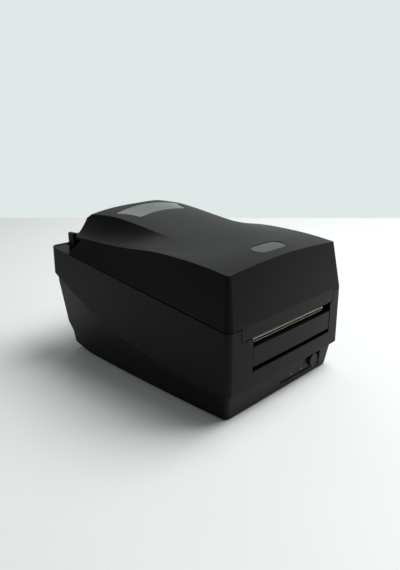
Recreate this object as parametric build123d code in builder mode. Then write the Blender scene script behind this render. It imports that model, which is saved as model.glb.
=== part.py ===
from build123d import *
from math import acos, atan2, ceil, cos, floor, pi, radians, sin, sqrt, tan
import os

os.makedirs("parts", exist_ok=True)

# Desktop thermal-transfer barcode printer, in millimetres.
# X runs to the right, Y to the back and Z up. The label comes out of the front, at -Y.

# Driving sizes of the casing
body_width = 198.0
body_length = 280.0
front_bow = 1.0
wall = 2.5
corner_radius = 7.0
foot_height = 1.5
seam_front_height = 95.3
seam_angle = 7.35
seam_gap = 1.1
waist_front_height = 33.8
waist_straight = 30.0
waist_radius = 492.0
waist_step = 3.5
waist_chamfer = 4.0
chamfer_run = 2.8
lip_inset = 3.2
lower_draft = 0.153
tongue = 3.0

# Clearances: running fits turn or slide, seats are pressed, gaps only keep pieces apart
running_gap = 0.06
seat_gap = 0.02
slide_gap = 0.5

half_width = body_width / 2
front = -body_length / 2
rear = body_length / 2
high = 2 * body_width
floor_top = foot_height + wall


def seam_height(y):
    """Height of the lower case's rim, which climbs to the back."""
    return seam_front_height + (y - front) * tan(radians(seam_angle))


def waist_height(y):
    """Height of the parting line between the two halves of the lower case."""
    run = max(0.0, y - front - waist_straight)
    return waist_front_height + waist_radius - sqrt(waist_radius**2 - run**2)


def plan_outline(inset, radius):
    """Plan of the case with its slightly bowed front, drawn in by inset."""
    side = half_width - inset
    with BuildSketch() as plan:
        with BuildLine():
            bow = ThreePointArc(
                (-side, front + front_bow + inset),
                (0, front + inset),
                (side, front + front_bow + inset),
            )
            Polyline(bow @ 1, (side, rear - inset), (-side, rear - inset), bow @ 0)
        make_face()
        if radius > 0:
            fillet(plan.vertices(), radius)
    return plan.sketch


def upper_side(rise, inset, over):
    """Side view of the case from the waist, raised by rise, to over above the seam."""
    bend = front + waist_straight
    middle = (bend + rear) / 2
    start = (front + inset, waist_front_height + rise)
    with BuildSketch() as side:
        with BuildLine():
            Line(start, (bend, waist_front_height + rise))
            ThreePointArc(
                (bend, waist_front_height + rise),
                (middle, waist_height(middle) + rise),
                (rear - inset, waist_height(rear - inset) + rise),
            )
            Polyline(
                (rear - inset, waist_height(rear - inset) + rise),
                (rear - inset, seam_height(rear - inset) + over),
                (front + inset, seam_height(front + inset) + over),
                start,
            )
        make_face()
    return side.sketch


def block(x, y, z):
    """A plain box between pairs of limits, to be added to a part or cut from it."""
    size = [high_end - low_end for low_end, high_end in (x, y, z)]
    centre = [(high_end + low_end) / 2 for low_end, high_end in (x, y, z)]
    return Pos(*centre) * Box(*size, mode=Mode.PRIVATE)


def post(place, z, radius):
    """An upright round post between two heights."""
    low, top = z
    return Pos(*place, (low + top) / 2) * Cylinder(radius, top - low, mode=Mode.PRIVATE)


def axle(x, place, radius):
    """A round bar along X between two limits, centred on place in the side view."""
    low, top = x
    bar = Cylinder(radius, top - low, rotation=(0, 90, 0), mode=Mode.PRIVATE)
    return Pos((low + top) / 2, *place) * bar


def rod(y, place, radius):
    """A round bar along Y between two limits, centred on place in the front view."""
    low, top = y
    bar = Cylinder(radius, top - low, rotation=(90, 0, 0), mode=Mode.PRIVATE)
    return Pos(place[0], (low + top) / 2, place[1]) * bar


def both_sides(shape):
    """A shape and its mirror image on the other side of the printer."""
    return [shape, mirror(shape, about=Plane.YZ, mode=Mode.PRIVATE)]


def side_plate(points, x):
    """A flat plate cut to a side view, between two limits across the printer."""
    low, top = x
    with BuildPart() as plate:
        with BuildSketch(Plane.YZ.offset(low)):
            with BuildLine():
                Polyline(*points, close=True)
            make_face()
        extrude(amount=top - low)
    return plate.part


def seam_slab(x, y, rise):
    """A slab parallel to the seam, between two rises from it."""
    start, end = y
    low, top = rise
    points = [
        (start, seam_height(start) + low),
        (end, seam_height(end) + low),
        (end, seam_height(end) + top),
        (start, seam_height(start) + top),
    ]
    return side_plate(points, x)


def plan_band(insets, z):
    """An upright band that follows the case plan between two insets."""
    outer, inner = insets
    low, top = z
    with BuildPart() as band:
        with BuildSketch(Plane.XY.offset(low)):
            add(plan_outline(outer, max(corner_radius - outer, 1)))
            add(plan_outline(inner, max(corner_radius - inner, 1)), mode=Mode.SUBTRACT)
        extrude(amount=top - low)
    return band.part


def front_band(insets, x, z):
    """A piece of that band across the front of the printer."""
    with BuildPart() as piece:
        add(plan_band(insets, z))
        add(block(x, (front - wall, front + 4 * wall), z), mode=Mode.INTERSECT)
    return piece.part


# Where the two halves of the case are screwed together, from below
case_screw_places = [(86.0, -124.0), (84.0, 20.0), (76.0, 112.0)]
case_post_radius = 4.0
case_post_drop = 3.0
case_post_gap = 0.2
case_boss_height = 13.0
case_rib_thickness = 2.0
screw_shank_radius = 1.25
screw_pilot_radius = 1.3
screw_clear_radius = 1.7
screw_head_radius = 2.8
screw_head_height = 2.0
screw_head_clear = 3.1
screw_grip = 6.0
screw_bite = 8.0

# Rubber feet
foot_radius = 8.0
foot_pocket_depth = 1.5
foot_clearance = 0.1
foot_places = [(72.0, -112.0), (66.0, 84.0)]

# Control panel in the lower right of the front, as corners seen from the front
panel_corners = [(-4.0, 6.8), (73.5, 6.2), (70.5, 29.6), (-10.5, 29.6)]
panel_floor = front + 9.5
panel_wall = 1.2
panel_clearance = 0.3
button_place = (58.0, 16.6)
button_radius = 7.4
button_clearance = 0.2
button_proud = 3.5
button_travel = 1.2
button_flange = 1.0
lamp_places = [(17.4, 12.4), (37.4, 12.4)]
lamp_radius = 1.4
lamp_clearance = 0.1
panel_board_y = panel_floor + 8.0

# Boards on the floor of the case
board_thickness = 1.6
main_board_height = 18.0
main_board_y = (5.0, 98.0)
main_board_half = 76.0
board_post_places = [(70.0, 12.0), (70.0, 88.0)]
board_post_radius = 3.5
interface_height = 33.4
interface_half = 70.0
interface_y = (100.0, 131.0)
interface_posts = [(60.0, 104.0), (60.0, 113.0)]

# Rear wall sockets: place across, half width, height above the interface board
socket_gap = 0.4
socket_front = 117.5
socket_rear = 135.5
usb_x, usb_half, usb_tall = -44.0, 6.0, 11.0
serial_x, serial_half, serial_tall = -14.0, 15.5, 12.5
parallel_x, parallel_half, parallel_tall = 34.0, 28.0, 13.5
power_x, power_half, power_tall = -63.0, 5.5, 11.0
switch_x, switch_height = 58.0, 68.0
switch_half_width, switch_half_height = 9.5, 6.5

# Side frames and what they are screwed to
frame_inner = 61.0
frame_thickness = 2.0
frame_outer = frame_inner + frame_thickness
frame_foot_z = 12.0
frame_foot_reach = 75.0
frame_screw_places = [(69.0, -106.0), (69.0, -40.0)]
floor_boss_radius = 4.0

# Bottom case: the tub under the waist, with walls that lean in towards the table
heel_height = 33.0
heel_low = 22.7
heel_lean = 2.6
heel_toe = 9.9
toe_lean = 1.6
sole_height = 7.0
sole_setback = 41.0
bottom_corner = 6.0
casing_stations = [front - 10, front + waist_straight, front / 3, rear / 9, rear / 1.8, rear + 10]


def lower_form(inset):
    """The bottom half as a solid block, every face drawn in by inset."""
    low = foot_height + inset
    nose = front + front_bow + waist_step + inset
    tail = rear - waist_step - inset
    with BuildPart() as form:
        for y in casing_stations:
            top = waist_height(y) + tongue
            at_waist = half_width - waist_step - inset
            at_top = at_waist + lower_draft * tongue
            at_low = at_waist - lower_draft * (waist_height(y) - low)
            with BuildSketch(Plane.XZ.offset(-y)):
                with BuildLine():
                    Polyline(
                        (-at_top, top), (at_top, top), (at_low, low), (-at_low, low), close=True
                    )
                make_face()
        loft()
        with BuildSketch(Plane.YZ):
            with BuildLine():
                Polyline(
                    (nose + lower_draft * waist_front_height, 0),
                    (nose - lower_draft * waist_front_height, 2 * waist_front_height),
                    (nose, high),
                    (tail, high),
                    (tail, waist_height(rear)),
                    (tail - heel_lean, heel_height),
                    (tail - heel_toe, heel_low),
                    (tail - heel_toe - toe_lean, sole_height + inset / 2),
                    (tail - sole_setback, low),
                    (tail - sole_setback, 0),
                    close=True,
                )
            make_face()
        extrude(amount=body_width, both=True, mode=Mode.INTERSECT)
        upright = form.edges().filter_by(lambda e: abs((e @ 1 - e @ 0).normalized().Z) > 0.9)
        fillet(upright.group_by(Axis.Y)[0], bottom_corner - inset)
        with BuildSketch():
            add(plan_outline(tongue + inset, bottom_corner - inset))
        extrude(amount=high, mode=Mode.INTERSECT)
    return form.part


def panel_prism(grow, y):
    """The control panel's outline, grown by grow, as a prism between two depths."""
    low, top = y
    with BuildPart() as prism:
        with BuildSketch(Plane.XZ.offset(-top)) as outline:
            with BuildLine():
                Polyline(*panel_corners, close=True)
            make_face()
            if grow != 0:
                offset(amount=grow, kind=Kind.INTERSECTION, mode=Mode.REPLACE)
        extrude(amount=top - low)
    return prism.part


def socket_hole(x, half, tall):
    """Opening in the rear wall round a socket that stands on the interface board."""
    low = interface_height + board_thickness - socket_gap
    return block(
        (x - half - socket_gap, x + half + socket_gap),
        (socket_front, rear),
        (low, low + tall + 2 * socket_gap),
    )


with BuildPart() as floor_fittings:
    for x, y in case_screw_places:
        top = waist_height(y) - case_post_drop
        add(both_sides(post((x, y), (foot_height, top), case_post_radius)))
    for x, y in frame_screw_places:
        add(both_sides(post((x, y), (foot_height, frame_foot_z), floor_boss_radius)))
    for x, y in board_post_places:
        add(both_sides(post((x, y), (foot_height, main_board_height), board_post_radius)))
    for x, y in interface_posts:
        add(both_sides(post((x, y), (foot_height, interface_height), board_post_radius)))
    add(lower_form(wall / 2), mode=Mode.INTERSECT)

with BuildPart() as bottom_case:
    add(lower_form(0))
    add(lower_form(wall), mode=Mode.SUBTRACT)
    add(floor_fittings.part)
    for x, y in case_screw_places:
        top = waist_height(y) - case_post_drop
        add(both_sides(post((x, y), (0, top - screw_grip), screw_head_clear)), mode=Mode.SUBTRACT)
        add(both_sides(post((x, y), (0, top + 1), screw_clear_radius)), mode=Mode.SUBTRACT)
    for x, y in frame_screw_places:
        hole = post((x, y), (frame_foot_z - screw_grip, frame_foot_z + 1), screw_pilot_radius)
        add(both_sides(hole), mode=Mode.SUBTRACT)
    for x, y in board_post_places:
        hole = post((x, y), (main_board_height - screw_bite, high), screw_pilot_radius)
        add(both_sides(hole), mode=Mode.SUBTRACT)
    for x, y in interface_posts:
        hole = post((x, y), (interface_height - screw_bite, high), screw_pilot_radius)
        add(both_sides(hole), mode=Mode.SUBTRACT)
    for place in foot_places:
        pocket = post(place, (0, foot_height + foot_pocket_depth), foot_radius + foot_clearance)
        add(both_sides(pocket), mode=Mode.SUBTRACT)
    add(panel_prism(panel_clearance, (front - wall, panel_floor + wall)), mode=Mode.SUBTRACT)
    for socket in (
        (usb_x, usb_half, usb_tall),
        (serial_x, serial_half, serial_tall),
        (parallel_x, parallel_half, parallel_tall),
        (power_x, power_half, power_tall),
    ):
        add(socket_hole(*socket), mode=Mode.SUBTRACT)
    add(
        block(
            (switch_x - switch_half_width, switch_x + switch_half_width),
            (socket_front, rear),
            (switch_height - switch_half_height, switch_height + switch_half_height),
        ),
        mode=Mode.SUBTRACT,
    )

bottom_case.part.label = "bottom_case"
export_step(bottom_case.part, "parts/bottom_case.step")


# Middle case: the upright walls between the waist and the cover
label_slot_low = 46.5
label_slot_x = (-62.6, 76.5)
tab_half = 80.0
tab_low = 82.8
tab_gap = 0.8
rim_rise = 2.0
rim_thickness = 1.5
rim_gap = 1.6
rim_depth = 6.0
rim_end = 96.0
shelf_front = 128.0
shelf_height = 126.5
shelf_thickness = 2.5
ledge_width = 3.0
ledge_drop = 8.0
ledge_thickness = 3.0
corner_deck = (-3.4, -0.6)
corner_groove = (-1.9, 0.8)
corner_deck_lead = 10.2

# Cover hinge at the back
hinge_place = (118.0, 138.0)
hinge_pin_radius = 3.0
hinge_eye_radius = 7.0
hinge_eye = (70.0, 78.2)
hinge_pin_end = 83.0
tower = (80.0, 84.8)
tower_half_depth = 4.8
tower_rise = 10.0
tower_root = 112.0

with BuildPart() as chamfer_space:
    for y in casing_stations:
        low = waist_height(y) - waist_chamfer
        reach = half_width - chamfer_run
        spread = 3 * chamfer_run
        climb = 3 * waist_chamfer
        with BuildSketch(Plane.XZ.offset(-y)):
            with BuildLine():
                Polyline(
                    (-reach, low),
                    (-reach - spread, low + climb),
                    (-reach - spread, high),
                    (reach + spread, high),
                    (reach + spread, low + climb),
                    (reach, low),
                    close=True,
                )
            make_face()
    loft()

with BuildPart() as middle_cavity:
    with BuildSketch():
        add(plan_outline(wall, corner_radius - wall))
    extrude(amount=high)
    with BuildSketch(Plane.YZ):
        add(upper_side(0, 0, wall))
    extrude(amount=body_width, both=True, mode=Mode.INTERSECT)

across = (-half_width, half_width)

with BuildPart() as wall_space:
    add(plan_band((0, wall + rim_gap), (0, high)))
    add(seam_slab(across, (front, rim_end), (0, high)), mode=Mode.INTERSECT)

with BuildPart() as seam_rim:
    rim_inner = wall + rim_gap + rim_thickness
    add(plan_band((wall / 2, rim_inner), (0, high)))
    add(seam_slab(across, (front, rim_end), (-rim_depth, rim_rise)), mode=Mode.INTERSECT)
    add(wall_space.part, mode=Mode.SUBTRACT)

with BuildPart() as rim_fittings:
    inside = half_width - wall / 2
    ledge_rise = (-ledge_drop - ledge_thickness, -ledge_drop)
    ledge_x = (half_width - wall - ledge_width, inside)
    tower_y = (hinge_place[0] - tower_half_depth, hinge_place[0] + tower_half_depth)
    tower_top = hinge_place[1] + tower_rise
    deck_y = (tower_y[0] - corner_deck_lead, rear - wall / 2)
    add(both_sides(seam_slab(ledge_x, (front + wall / 2, shelf_front), ledge_rise)))
    add(
        block(
            (-inside, inside),
            (shelf_front, rear - wall / 2),
            (shelf_height - shelf_thickness, shelf_height),
        )
    )
    groove_depth, groove_width = corner_groove
    groove_edge = half_width - wall - groove_width
    add(both_sides(seam_slab((tower[0] - slide_gap, groove_edge), deck_y, corner_deck)))
    add(both_sides(seam_slab((tower[0], inside), deck_y, (corner_deck[0], groove_depth))))
    add(both_sides(block(tower, tower_y, (tower_root, tower_top))))
    add(both_sides(block((tower[0], inside), tower_y, (tower_root, seam_height(tower_y[0]) - 1))))
    with BuildSketch():
        add(plan_outline(wall / 2, corner_radius - wall / 2))
    extrude(amount=high, mode=Mode.INTERSECT)

with BuildPart() as middle_case:
    with BuildSketch():
        add(plan_outline(0, corner_radius))
    extrude(amount=high)
    with BuildSketch(Plane.YZ):
        add(upper_side(-waist_chamfer, -1, 0))
    extrude(amount=body_width, both=True, mode=Mode.INTERSECT)
    add(chamfer_space.part, mode=Mode.INTERSECT)
    add(middle_cavity.part, mode=Mode.SUBTRACT)
    with BuildSketch():
        add(plan_outline(lip_inset, corner_radius - wall))
    extrude(amount=waist_height(rear), mode=Mode.SUBTRACT)
    add(seam_rim.part)
    add(rim_fittings.part)
    pin_bore = (tower[0], hinge_pin_end + seat_gap)
    add(both_sides(axle(pin_bore, hinge_place, hinge_pin_radius + seat_gap)), mode=Mode.SUBTRACT)
    for x, y in case_screw_places:
        low = waist_height(y) - case_post_drop + case_post_gap
        top = low + case_boss_height
        rib_low = waist_height(y) + tongue + 1
        rib = (y - case_rib_thickness / 2, y + case_rib_thickness / 2)
        add(both_sides(post((x, y), (low, top), case_post_radius)))
        add(both_sides(block((x, inside), rib, (rib_low, top))))
        add(both_sides(post((x, y), (low - 1, top - 2), screw_pilot_radius)), mode=Mode.SUBTRACT)
    notch = tab_half + tab_gap
    into = (front - wall, front + 3 * wall)
    add(block((-notch, notch), into, (tab_low - tab_gap, high)), mode=Mode.SUBTRACT)
    add(block(label_slot_x, into, (label_slot_low, high)), mode=Mode.SUBTRACT)

middle_case.part.label = "middle_case"
export_step(middle_case.part, "parts/middle_case.step")


# Top cover: deck, hump over the label roll, and the tab over the label slot
crest_half = 90.5
deck_radius = 862.0
lean_start = 97.0
deck_corner_radius = 2.2
deck_corner_height = 155.0
front_lean = 0.162
side_lean = 0.165
cover_wall = 2.6
notch_half = 78.4
notch_corner = (87.5, 145.5)
hump_rear = [(84.0, 178.0), (111.5, 164.0), (124.5, 133.0)]
hump_corner = [(60.0, 112.8), (78.4, 106.0), (99.0, 92.0)]
section_pitch = 18.0

# Each line gives a height or a half width at places along the printer
crest_line = [
    (-150, 145), (-108, 150.4), (-81, 152.3), (-50, 153.2), (-25, 152.5),
    (2, 150), (30, 148.3), (60, 147.9), (140, 147.4),
]
ridge_half_line = [
    (-150, 52), (-70, 53), (-40, 55), (-20, 54.5), (20, 54.9), (60, 56.6), (100, 60.6), (140, 62),
]
valley_half_line = [
    (-150, 62), (-75, 62), (-64, 66), (-52, 76), (-36, 85), (-14, 88), (20, 88.5), (140, 88.5),
]
ridge_rise_line = [
    (-150, 0), (-75, 0), (-60, 0.6), (-40, 2.0), (-20, 4.6), (0, 8.6), (20, 12.6),
    (40, 15.7), (60, 18), (80, 19.3), (100, 18.5), (140, 18.5),
]
crown_rise_line = [
    (-150, 0), (-86, 0), (-75, 0.3), (-60, 1.4), (-40, 3.5), (-20, 6.7), (0, 10.9),
    (20, 15.3), (40, 18.7), (60, 21.7), (80, 24.4), (100, 25.2), (140, 25.2),
]
cove_line = [(-150, 0), (-50, 0), (-20, 0.3), (0, 1.0), (20, 1.8), (60, 2.8), (140, 3.0)]


def along(points, y):
    """Value at y on the smooth curve through points, level beyond its ends."""
    y = min(max(y, points[0][0]), points[-1][0])
    last = len(points) - 1
    i = max(k for k in range(last) if points[k][0] <= y)
    slopes = []
    for k in (i, i + 1):
        before, after = points[max(k - 1, 0)], points[min(k + 1, last)]
        slopes.append((after[1] - before[1]) / (after[0] - before[0]))
    (y0, v0), (y1, v1) = points[i], points[i + 1]
    span = y1 - y0
    t = (y - y0) / span
    return (
        (1 + 2 * t) * (1 - t) ** 2 * v0
        + t * (1 - t) ** 2 * span * slopes[0]
        + t * t * (3 - 2 * t) * v1
        + t * t * (t - 1) * span * slopes[1]
    )


def half_section(y, inset):
    """Right half of the cover's section at y: its corners, and a point on each curve."""
    crest = along(crest_line, y)
    top = crest + crest_half**2 / (2 * deck_radius)

    def deck(x, rise=0.0):
        return Vector(x, top - x * x / (2 * deck_radius) + rise - inset)

    slope = (half_width - crest_half) / (crest - seam_height(y))
    skirt = Vector(half_width - inset + wall * slope * 4, seam_height(y) - wall * 4)
    edge = deck(crest_half - inset)
    valley = deck(along(valley_half_line, y) - 0.6 * inset)
    ridge = deck(along(ridge_half_line, y) - 0.45 * inset, along(ridge_rise_line, y))
    crown = deck(0, along(crown_rise_line, y))
    land = deck((edge.X + valley.X) / 2)
    chord = ridge - valley
    inward = Vector(chord.Y, -chord.X).normalized()
    sag = along(cove_line, y) - chord.length**2 / (8 * deck_radius)
    cove = (valley + ridge) / 2 - inward * sag
    return skirt, edge, land, valley, cove, ridge, crown


def flipped(point):
    """The same point on the left half of a section."""
    return Vector(-point.X, point.Y)


def cover_block(inset):
    """The cover's lofted top and sides as a solid block, drawn in by inset."""
    count = ceil(body_length / section_pitch)
    start, end = front - 8, rear - 6
    with BuildPart() as form:
        for i in range(count + 1):
            y = start + (end - start) * i / count
            skirt, edge, land, valley, cove, ridge, crown = half_section(y, inset)
            with BuildSketch(Plane.XZ.offset(-y)):
                with BuildLine():
                    Line(skirt, edge)
                    ThreePointArc(edge, land, valley)
                    ThreePointArc(valley, cove, ridge)
                    ThreePointArc(ridge, crown, flipped(ridge))
                    ThreePointArc(flipped(ridge), flipped(cove), flipped(valley))
                    ThreePointArc(flipped(valley), flipped(land), flipped(edge))
                    Line(flipped(edge), flipped(skirt))
                    Line(flipped(skirt), skirt)
                make_face()
        loft()
    return form.part


def corner_space(flank, inset):
    """Space outside a front edge of the cover, whose rounding tightens towards the deck."""
    reach = 2 * corner_radius
    levels = [(lean_start, corner_radius), (deck_corner_height, deck_corner_radius)]
    with BuildPart() as space:
        for z, outer_radius in levels:
            radius = outer_radius - inset / 2
            x = half_width - inset - side_lean * (z - lean_start)
            y = front + front_bow + inset + front_lean * (z - lean_start)
            near = radius * (1 - sqrt(0.5))
            with BuildSketch(Plane.XY.offset(z)):
                with BuildLine():
                    bend = ThreePointArc(
                        (flank * (x - radius), y),
                        (flank * (x - near), y + near),
                        (flank * x, y + radius),
                    )
                    outside = [(x + reach, y + radius), (x + reach, y - reach), (x - radius, y - reach)]
                    Polyline(bend @ 1, *[(flank * across, back) for across, back in outside], bend @ 0)
                make_face()
        loft()
    return space.part


def notch_space(inset):
    """Room for a hinge tower: a slanting cut in the cover's side, and the hump's corner above it.

    The cut has a roof in the outer form alone, so that the roof is left solid.
    """
    y, z = notch_corner
    shift = inset * sqrt(2)
    beyond = rear + wall
    roof = [(beyond, z)] if inset == 0 else [(y - shift, high), (beyond, high)]
    corner = [(y - shift, z), *roof, (beyond, y + z - shift - beyond)]
    (x0, y0), (x1, y1), (x2, y2) = [(x - inset / 2, back - inset) for x, back in hump_corner]
    with BuildPart() as space:
        add(side_plate(corner, (notch_half - inset, body_width)))
        with BuildSketch(Plane.XY.offset(z - inset)):
            with BuildLine():
                edge = ThreePointArc((x0, y0), (x1, y1), (x2, y2))
                Polyline(edge @ 1, (x2, beyond), (x0, beyond), edge @ 0)
            make_face()
        extrude(amount=high)
    return space.part


def cover_form(inset):
    """The closed cover as a solid block: leaning front, rounded back, rear corners cut off."""
    side = half_width - inset
    nose = front + front_bow + inset
    radius = corner_radius - inset / 2
    far = body_width / 2
    with BuildPart() as form:
        add(cover_block(inset))
        with BuildSketch(Plane.YZ):
            with BuildLine():
                start, middle, end = [(y - inset, z) for y, z in hump_rear]
                ThreePointArc(start, middle, end)
                Polyline(end, (end[0], 0), (front - 20, 0), (front - 20, high), (start[0], high), start)
            make_face()
        extrude(amount=body_width, both=True, mode=Mode.INTERSECT)
        with BuildSketch():
            add(plan_outline(inset, radius))
        extrude(amount=high, mode=Mode.INTERSECT)
        with BuildSketch(Plane.XY.offset(lean_start)):
            with BuildLine():
                bow = ThreePointArc((-side - wall, nose), (0, nose - front_bow), (side + wall, nose))
                Polyline(bow @ 1, (side + wall, nose - far), (-side - wall, nose - far), bow @ 0)
            make_face()
        extrude(amount=far, dir=(0, front_lean, 1), mode=Mode.SUBTRACT)
        for flank in (-1, 1):
            add(corner_space(flank, inset), mode=Mode.SUBTRACT)
        add(both_sides(notch_space(inset)), mode=Mode.SUBTRACT)
    return form.part


# Window in the hump and badge place on the deck
window_rear_half, window_rear_y, window_rear_bow = 51.0, 77.4, 4.0
window_front_half, window_front_y, window_front_bow = 38.3, 45.0, 3.0
window_side = (41.5, 59.0)
window_gap = 0.3
window_flange = 3.0
window_inset = 0.5
flange_thickness = 1.2
badge_half, badge_y, badge_depth = 24.0, -107.5, 10.0
badge_pocket = 1.4
badge_gap = 0.3


def window_outline(grow):
    """Plan of the hump's window, wider at the back, grown by grow."""
    with BuildSketch() as outline:
        with BuildLine():
            back = ThreePointArc(
                (-window_rear_half, window_rear_y),
                (0, window_rear_y + window_rear_bow),
                (window_rear_half, window_rear_y),
            )
            ThreePointArc(back @ 1, window_side, (window_front_half, window_front_y))
            ThreePointArc(
                (window_front_half, window_front_y),
                (0, window_front_y + window_front_bow),
                (-window_front_half, window_front_y),
            )
            left_side = (-window_side[0], window_side[1])
            ThreePointArc((-window_front_half, window_front_y), left_side, back @ 0)
        make_face()
        if grow != 0:
            offset(amount=grow, mode=Mode.REPLACE)
    return outline.sketch


def badge_outline(grow):
    """Plan of the badge place, a pill lying across the deck, grown by grow."""
    with BuildSketch() as outline:
        with Locations((0, badge_y)):
            SlotOverall(2 * (badge_half + grow), 2 * (badge_depth + grow))
    return outline.sketch


def deck_patch(outline, insets):
    """The part of the cover's skin within an outline, between two insets."""
    outer, inner = insets
    with BuildPart() as patch:
        with BuildSketch(Plane.XY.offset(notch_corner[1] - 4 * wall)):
            add(outline)
        extrude(amount=body_width / 2)
        add(cover_block(outer), mode=Mode.INTERSECT)
        add(cover_block(inner), mode=Mode.SUBTRACT)
    return patch.part


with BuildPart() as top_cover:
    add(cover_form(0))
    add(cover_form(cover_wall), mode=Mode.SUBTRACT)
    add(
        seam_slab((-half_width, half_width), (front - wall, rear), (seam_gap, high)),
        mode=Mode.INTERSECT,
    )
    add(front_band((0, cover_wall), (-tab_half, tab_half), (tab_low, lean_start)))
    add(both_sides(axle(hinge_eye, hinge_place, hinge_eye_radius)))
    bore = (hinge_eye[0] - 1, hinge_eye[1] + 1)
    add(both_sides(axle(bore, hinge_place, hinge_pin_radius + running_gap)), mode=Mode.SUBTRACT)
    with BuildSketch(Plane.XY.offset(notch_corner[1] - 4 * wall)):
        add(window_outline(0))
    extrude(amount=body_width / 2, mode=Mode.SUBTRACT)
    add(deck_patch(badge_outline(0), (-1, badge_pocket)), mode=Mode.SUBTRACT)

top_cover.part.label = "top_cover"
export_step(top_cover.part, "parts/top_cover.step")

with BuildPart() as cover_window:
    flange = (cover_wall + seat_gap, cover_wall + flange_thickness)
    add(deck_patch(window_outline(window_flange), flange))
    add(deck_patch(window_outline(-window_gap), (window_inset, sum(flange) / 2)))

cover_window.part.label = "cover_window"
export_step(cover_window.part, "parts/cover_window.step")

with BuildPart() as badge_plate:
    add(deck_patch(badge_outline(-badge_gap), (window_inset, badge_pocket - seat_gap)))

badge_plate.part.label = "badge_plate"
export_step(badge_plate.part, "parts/badge_plate.step")


# Small pieces fixed to the case
plate_side_gap = 0.9
plate_z = (51.3, 72.1)
plate_inset = 0.3
ear_overlap = 4.2
ear_width = 13.0
ear_z = (53.0, 70.0)
ear_thickness = 1.6
plate_ledge_half = 60.0
plate_ledge_rear = -131.6
plate_ledge_thickness = 1.8

with BuildPart() as rubber_feet:
    for place in foot_places:
        add(both_sides(post(place, (0, foot_height + foot_pocket_depth), foot_radius)))

rubber_feet.part.label = "rubber_feet"
export_step(rubber_feet.part, "parts/rubber_feet.step")

with BuildPart() as case_screws:
    for x, y in case_screw_places:
        seat = waist_height(y) - case_post_drop - screw_grip
        head = (seat - screw_head_height, seat)
        shank = (head[0], seat + screw_grip + case_post_gap + screw_bite)
        add(both_sides(post((x, y), head, screw_head_radius)))
        add(both_sides(post((x, y), shank, screw_shank_radius)))

case_screws.part.label = "case_screws"
export_step(case_screws.part, "parts/case_screws.step")

with BuildPart() as front_plate:
    plate_x = (label_slot_x[0] + plate_side_gap, label_slot_x[1] - plate_side_gap)
    left_ear = label_slot_x[0] - ear_overlap
    right_ear = label_slot_x[1] + ear_overlap
    add(front_band((plate_inset, wall + 0.2), plate_x, plate_z))
    for ear_x in ((left_ear, left_ear + ear_width), (right_ear - ear_width, right_ear)):
        add(front_band((wall, wall + ear_thickness), ear_x, ear_z))
    add(
        block(
            (-plate_ledge_half, plate_ledge_half),
            (front + wall - 0.5, plate_ledge_rear),
            (plate_z[1] - plate_ledge_thickness, plate_z[1]),
        )
    )

front_plate.part.label = "front_plate"
export_step(front_plate.part, "parts/front_plate.step")

with BuildPart() as control_panel:
    add(panel_prism(0, (front - wall, panel_floor + panel_wall)))
    add(panel_prism(-panel_wall, (front - wall, panel_floor)), mode=Mode.SUBTRACT)
    through = (panel_floor - wall, panel_floor + 2 * panel_wall)
    add(rod(through, button_place, button_radius + button_clearance), mode=Mode.SUBTRACT)
    for place in lamp_places:
        add(rod(through, place, lamp_radius + lamp_clearance), mode=Mode.SUBTRACT)
    add(lower_form(0), mode=Mode.INTERSECT)

control_panel.part.label = "control_panel"
export_step(control_panel.part, "parts/control_panel.step")

with BuildPart() as lamp_lenses:
    for place in lamp_places:
        add(rod((panel_floor - slide_gap, panel_board_y), place, lamp_radius))

lamp_lenses.part.label = "lamp_lenses"
export_step(lamp_lenses.part, "parts/lamp_lenses.step")


# Feed button, pushed out by a spring that stands on the panel board
button_back = panel_floor + panel_wall + lamp_clearance
button_rear = button_back + button_flange
button_flange_radius = button_radius + 1.2
spring_radius = 3.2
spring_wire = 0.6
spring_post_radius = 2.0

with BuildPart() as feed_button:
    add(rod((panel_floor - button_proud, button_rear), button_place, button_radius))
    add(rod((button_back, button_rear), button_place, button_flange_radius))
    rim = feed_button.faces().sort_by(Axis.Y)[0].edges()
    fillet(rim, spring_wire)

feed_button.part.label = "feed_button"
export_step(feed_button.part, "parts/feed_button.step")

with BuildPart() as button_spring:
    span = (button_rear, panel_board_y)
    add(rod(span, button_place, spring_radius))
    add(rod(span, button_place, spring_radius - spring_wire), mode=Mode.SUBTRACT)

button_spring.part.label = "button_spring"
export_step(button_spring.part, "parts/button_spring.step")


# Boards, their chips, and the sockets in the rear wall
panel_board_x = (6.0, 74.0)
panel_board_z = (7.0, 28.0)
cable_x = (20.0, 34.0)
cable_thickness = 1.0
chip_height = 2.4
capacitor_places = [(-52.0, 30.0), (-40.0, 30.0), (52.0, 84.0)]
capacitor_radius = 4.5
capacitor_top = 32.0
chip_places = [(-10.0, 50.0, 14.0), (22.0, 40.0, 10.0), (30.0, 72.0, 8.0), (-34.0, 76.0, 9.0)]

with BuildPart() as panel_board:
    add(block(panel_board_x, (panel_board_y, panel_board_y + board_thickness), panel_board_z))

panel_board.part.label = "panel_board"
export_step(panel_board.part, "parts/panel_board.step")

with BuildPart() as panel_cable:
    start = panel_board_y + board_thickness
    board_edge = main_board_y[0]
    add(block(cable_x, (start, start + cable_thickness), (floor_top, panel_board_z[1] - 10)))
    add(block(cable_x, (start, board_edge - 1), (floor_top, floor_top + cable_thickness)))
    lift = (board_edge - 1 - cable_thickness, board_edge - 1)
    add(block(cable_x, lift, (floor_top, main_board_height + board_thickness)))
    over = (main_board_height + board_thickness - cable_thickness, main_board_height + board_thickness)
    add(block(cable_x, (lift[0], board_edge), over))

panel_cable.part.label = "panel_cable"
export_step(panel_cable.part, "parts/panel_cable.step")

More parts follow.
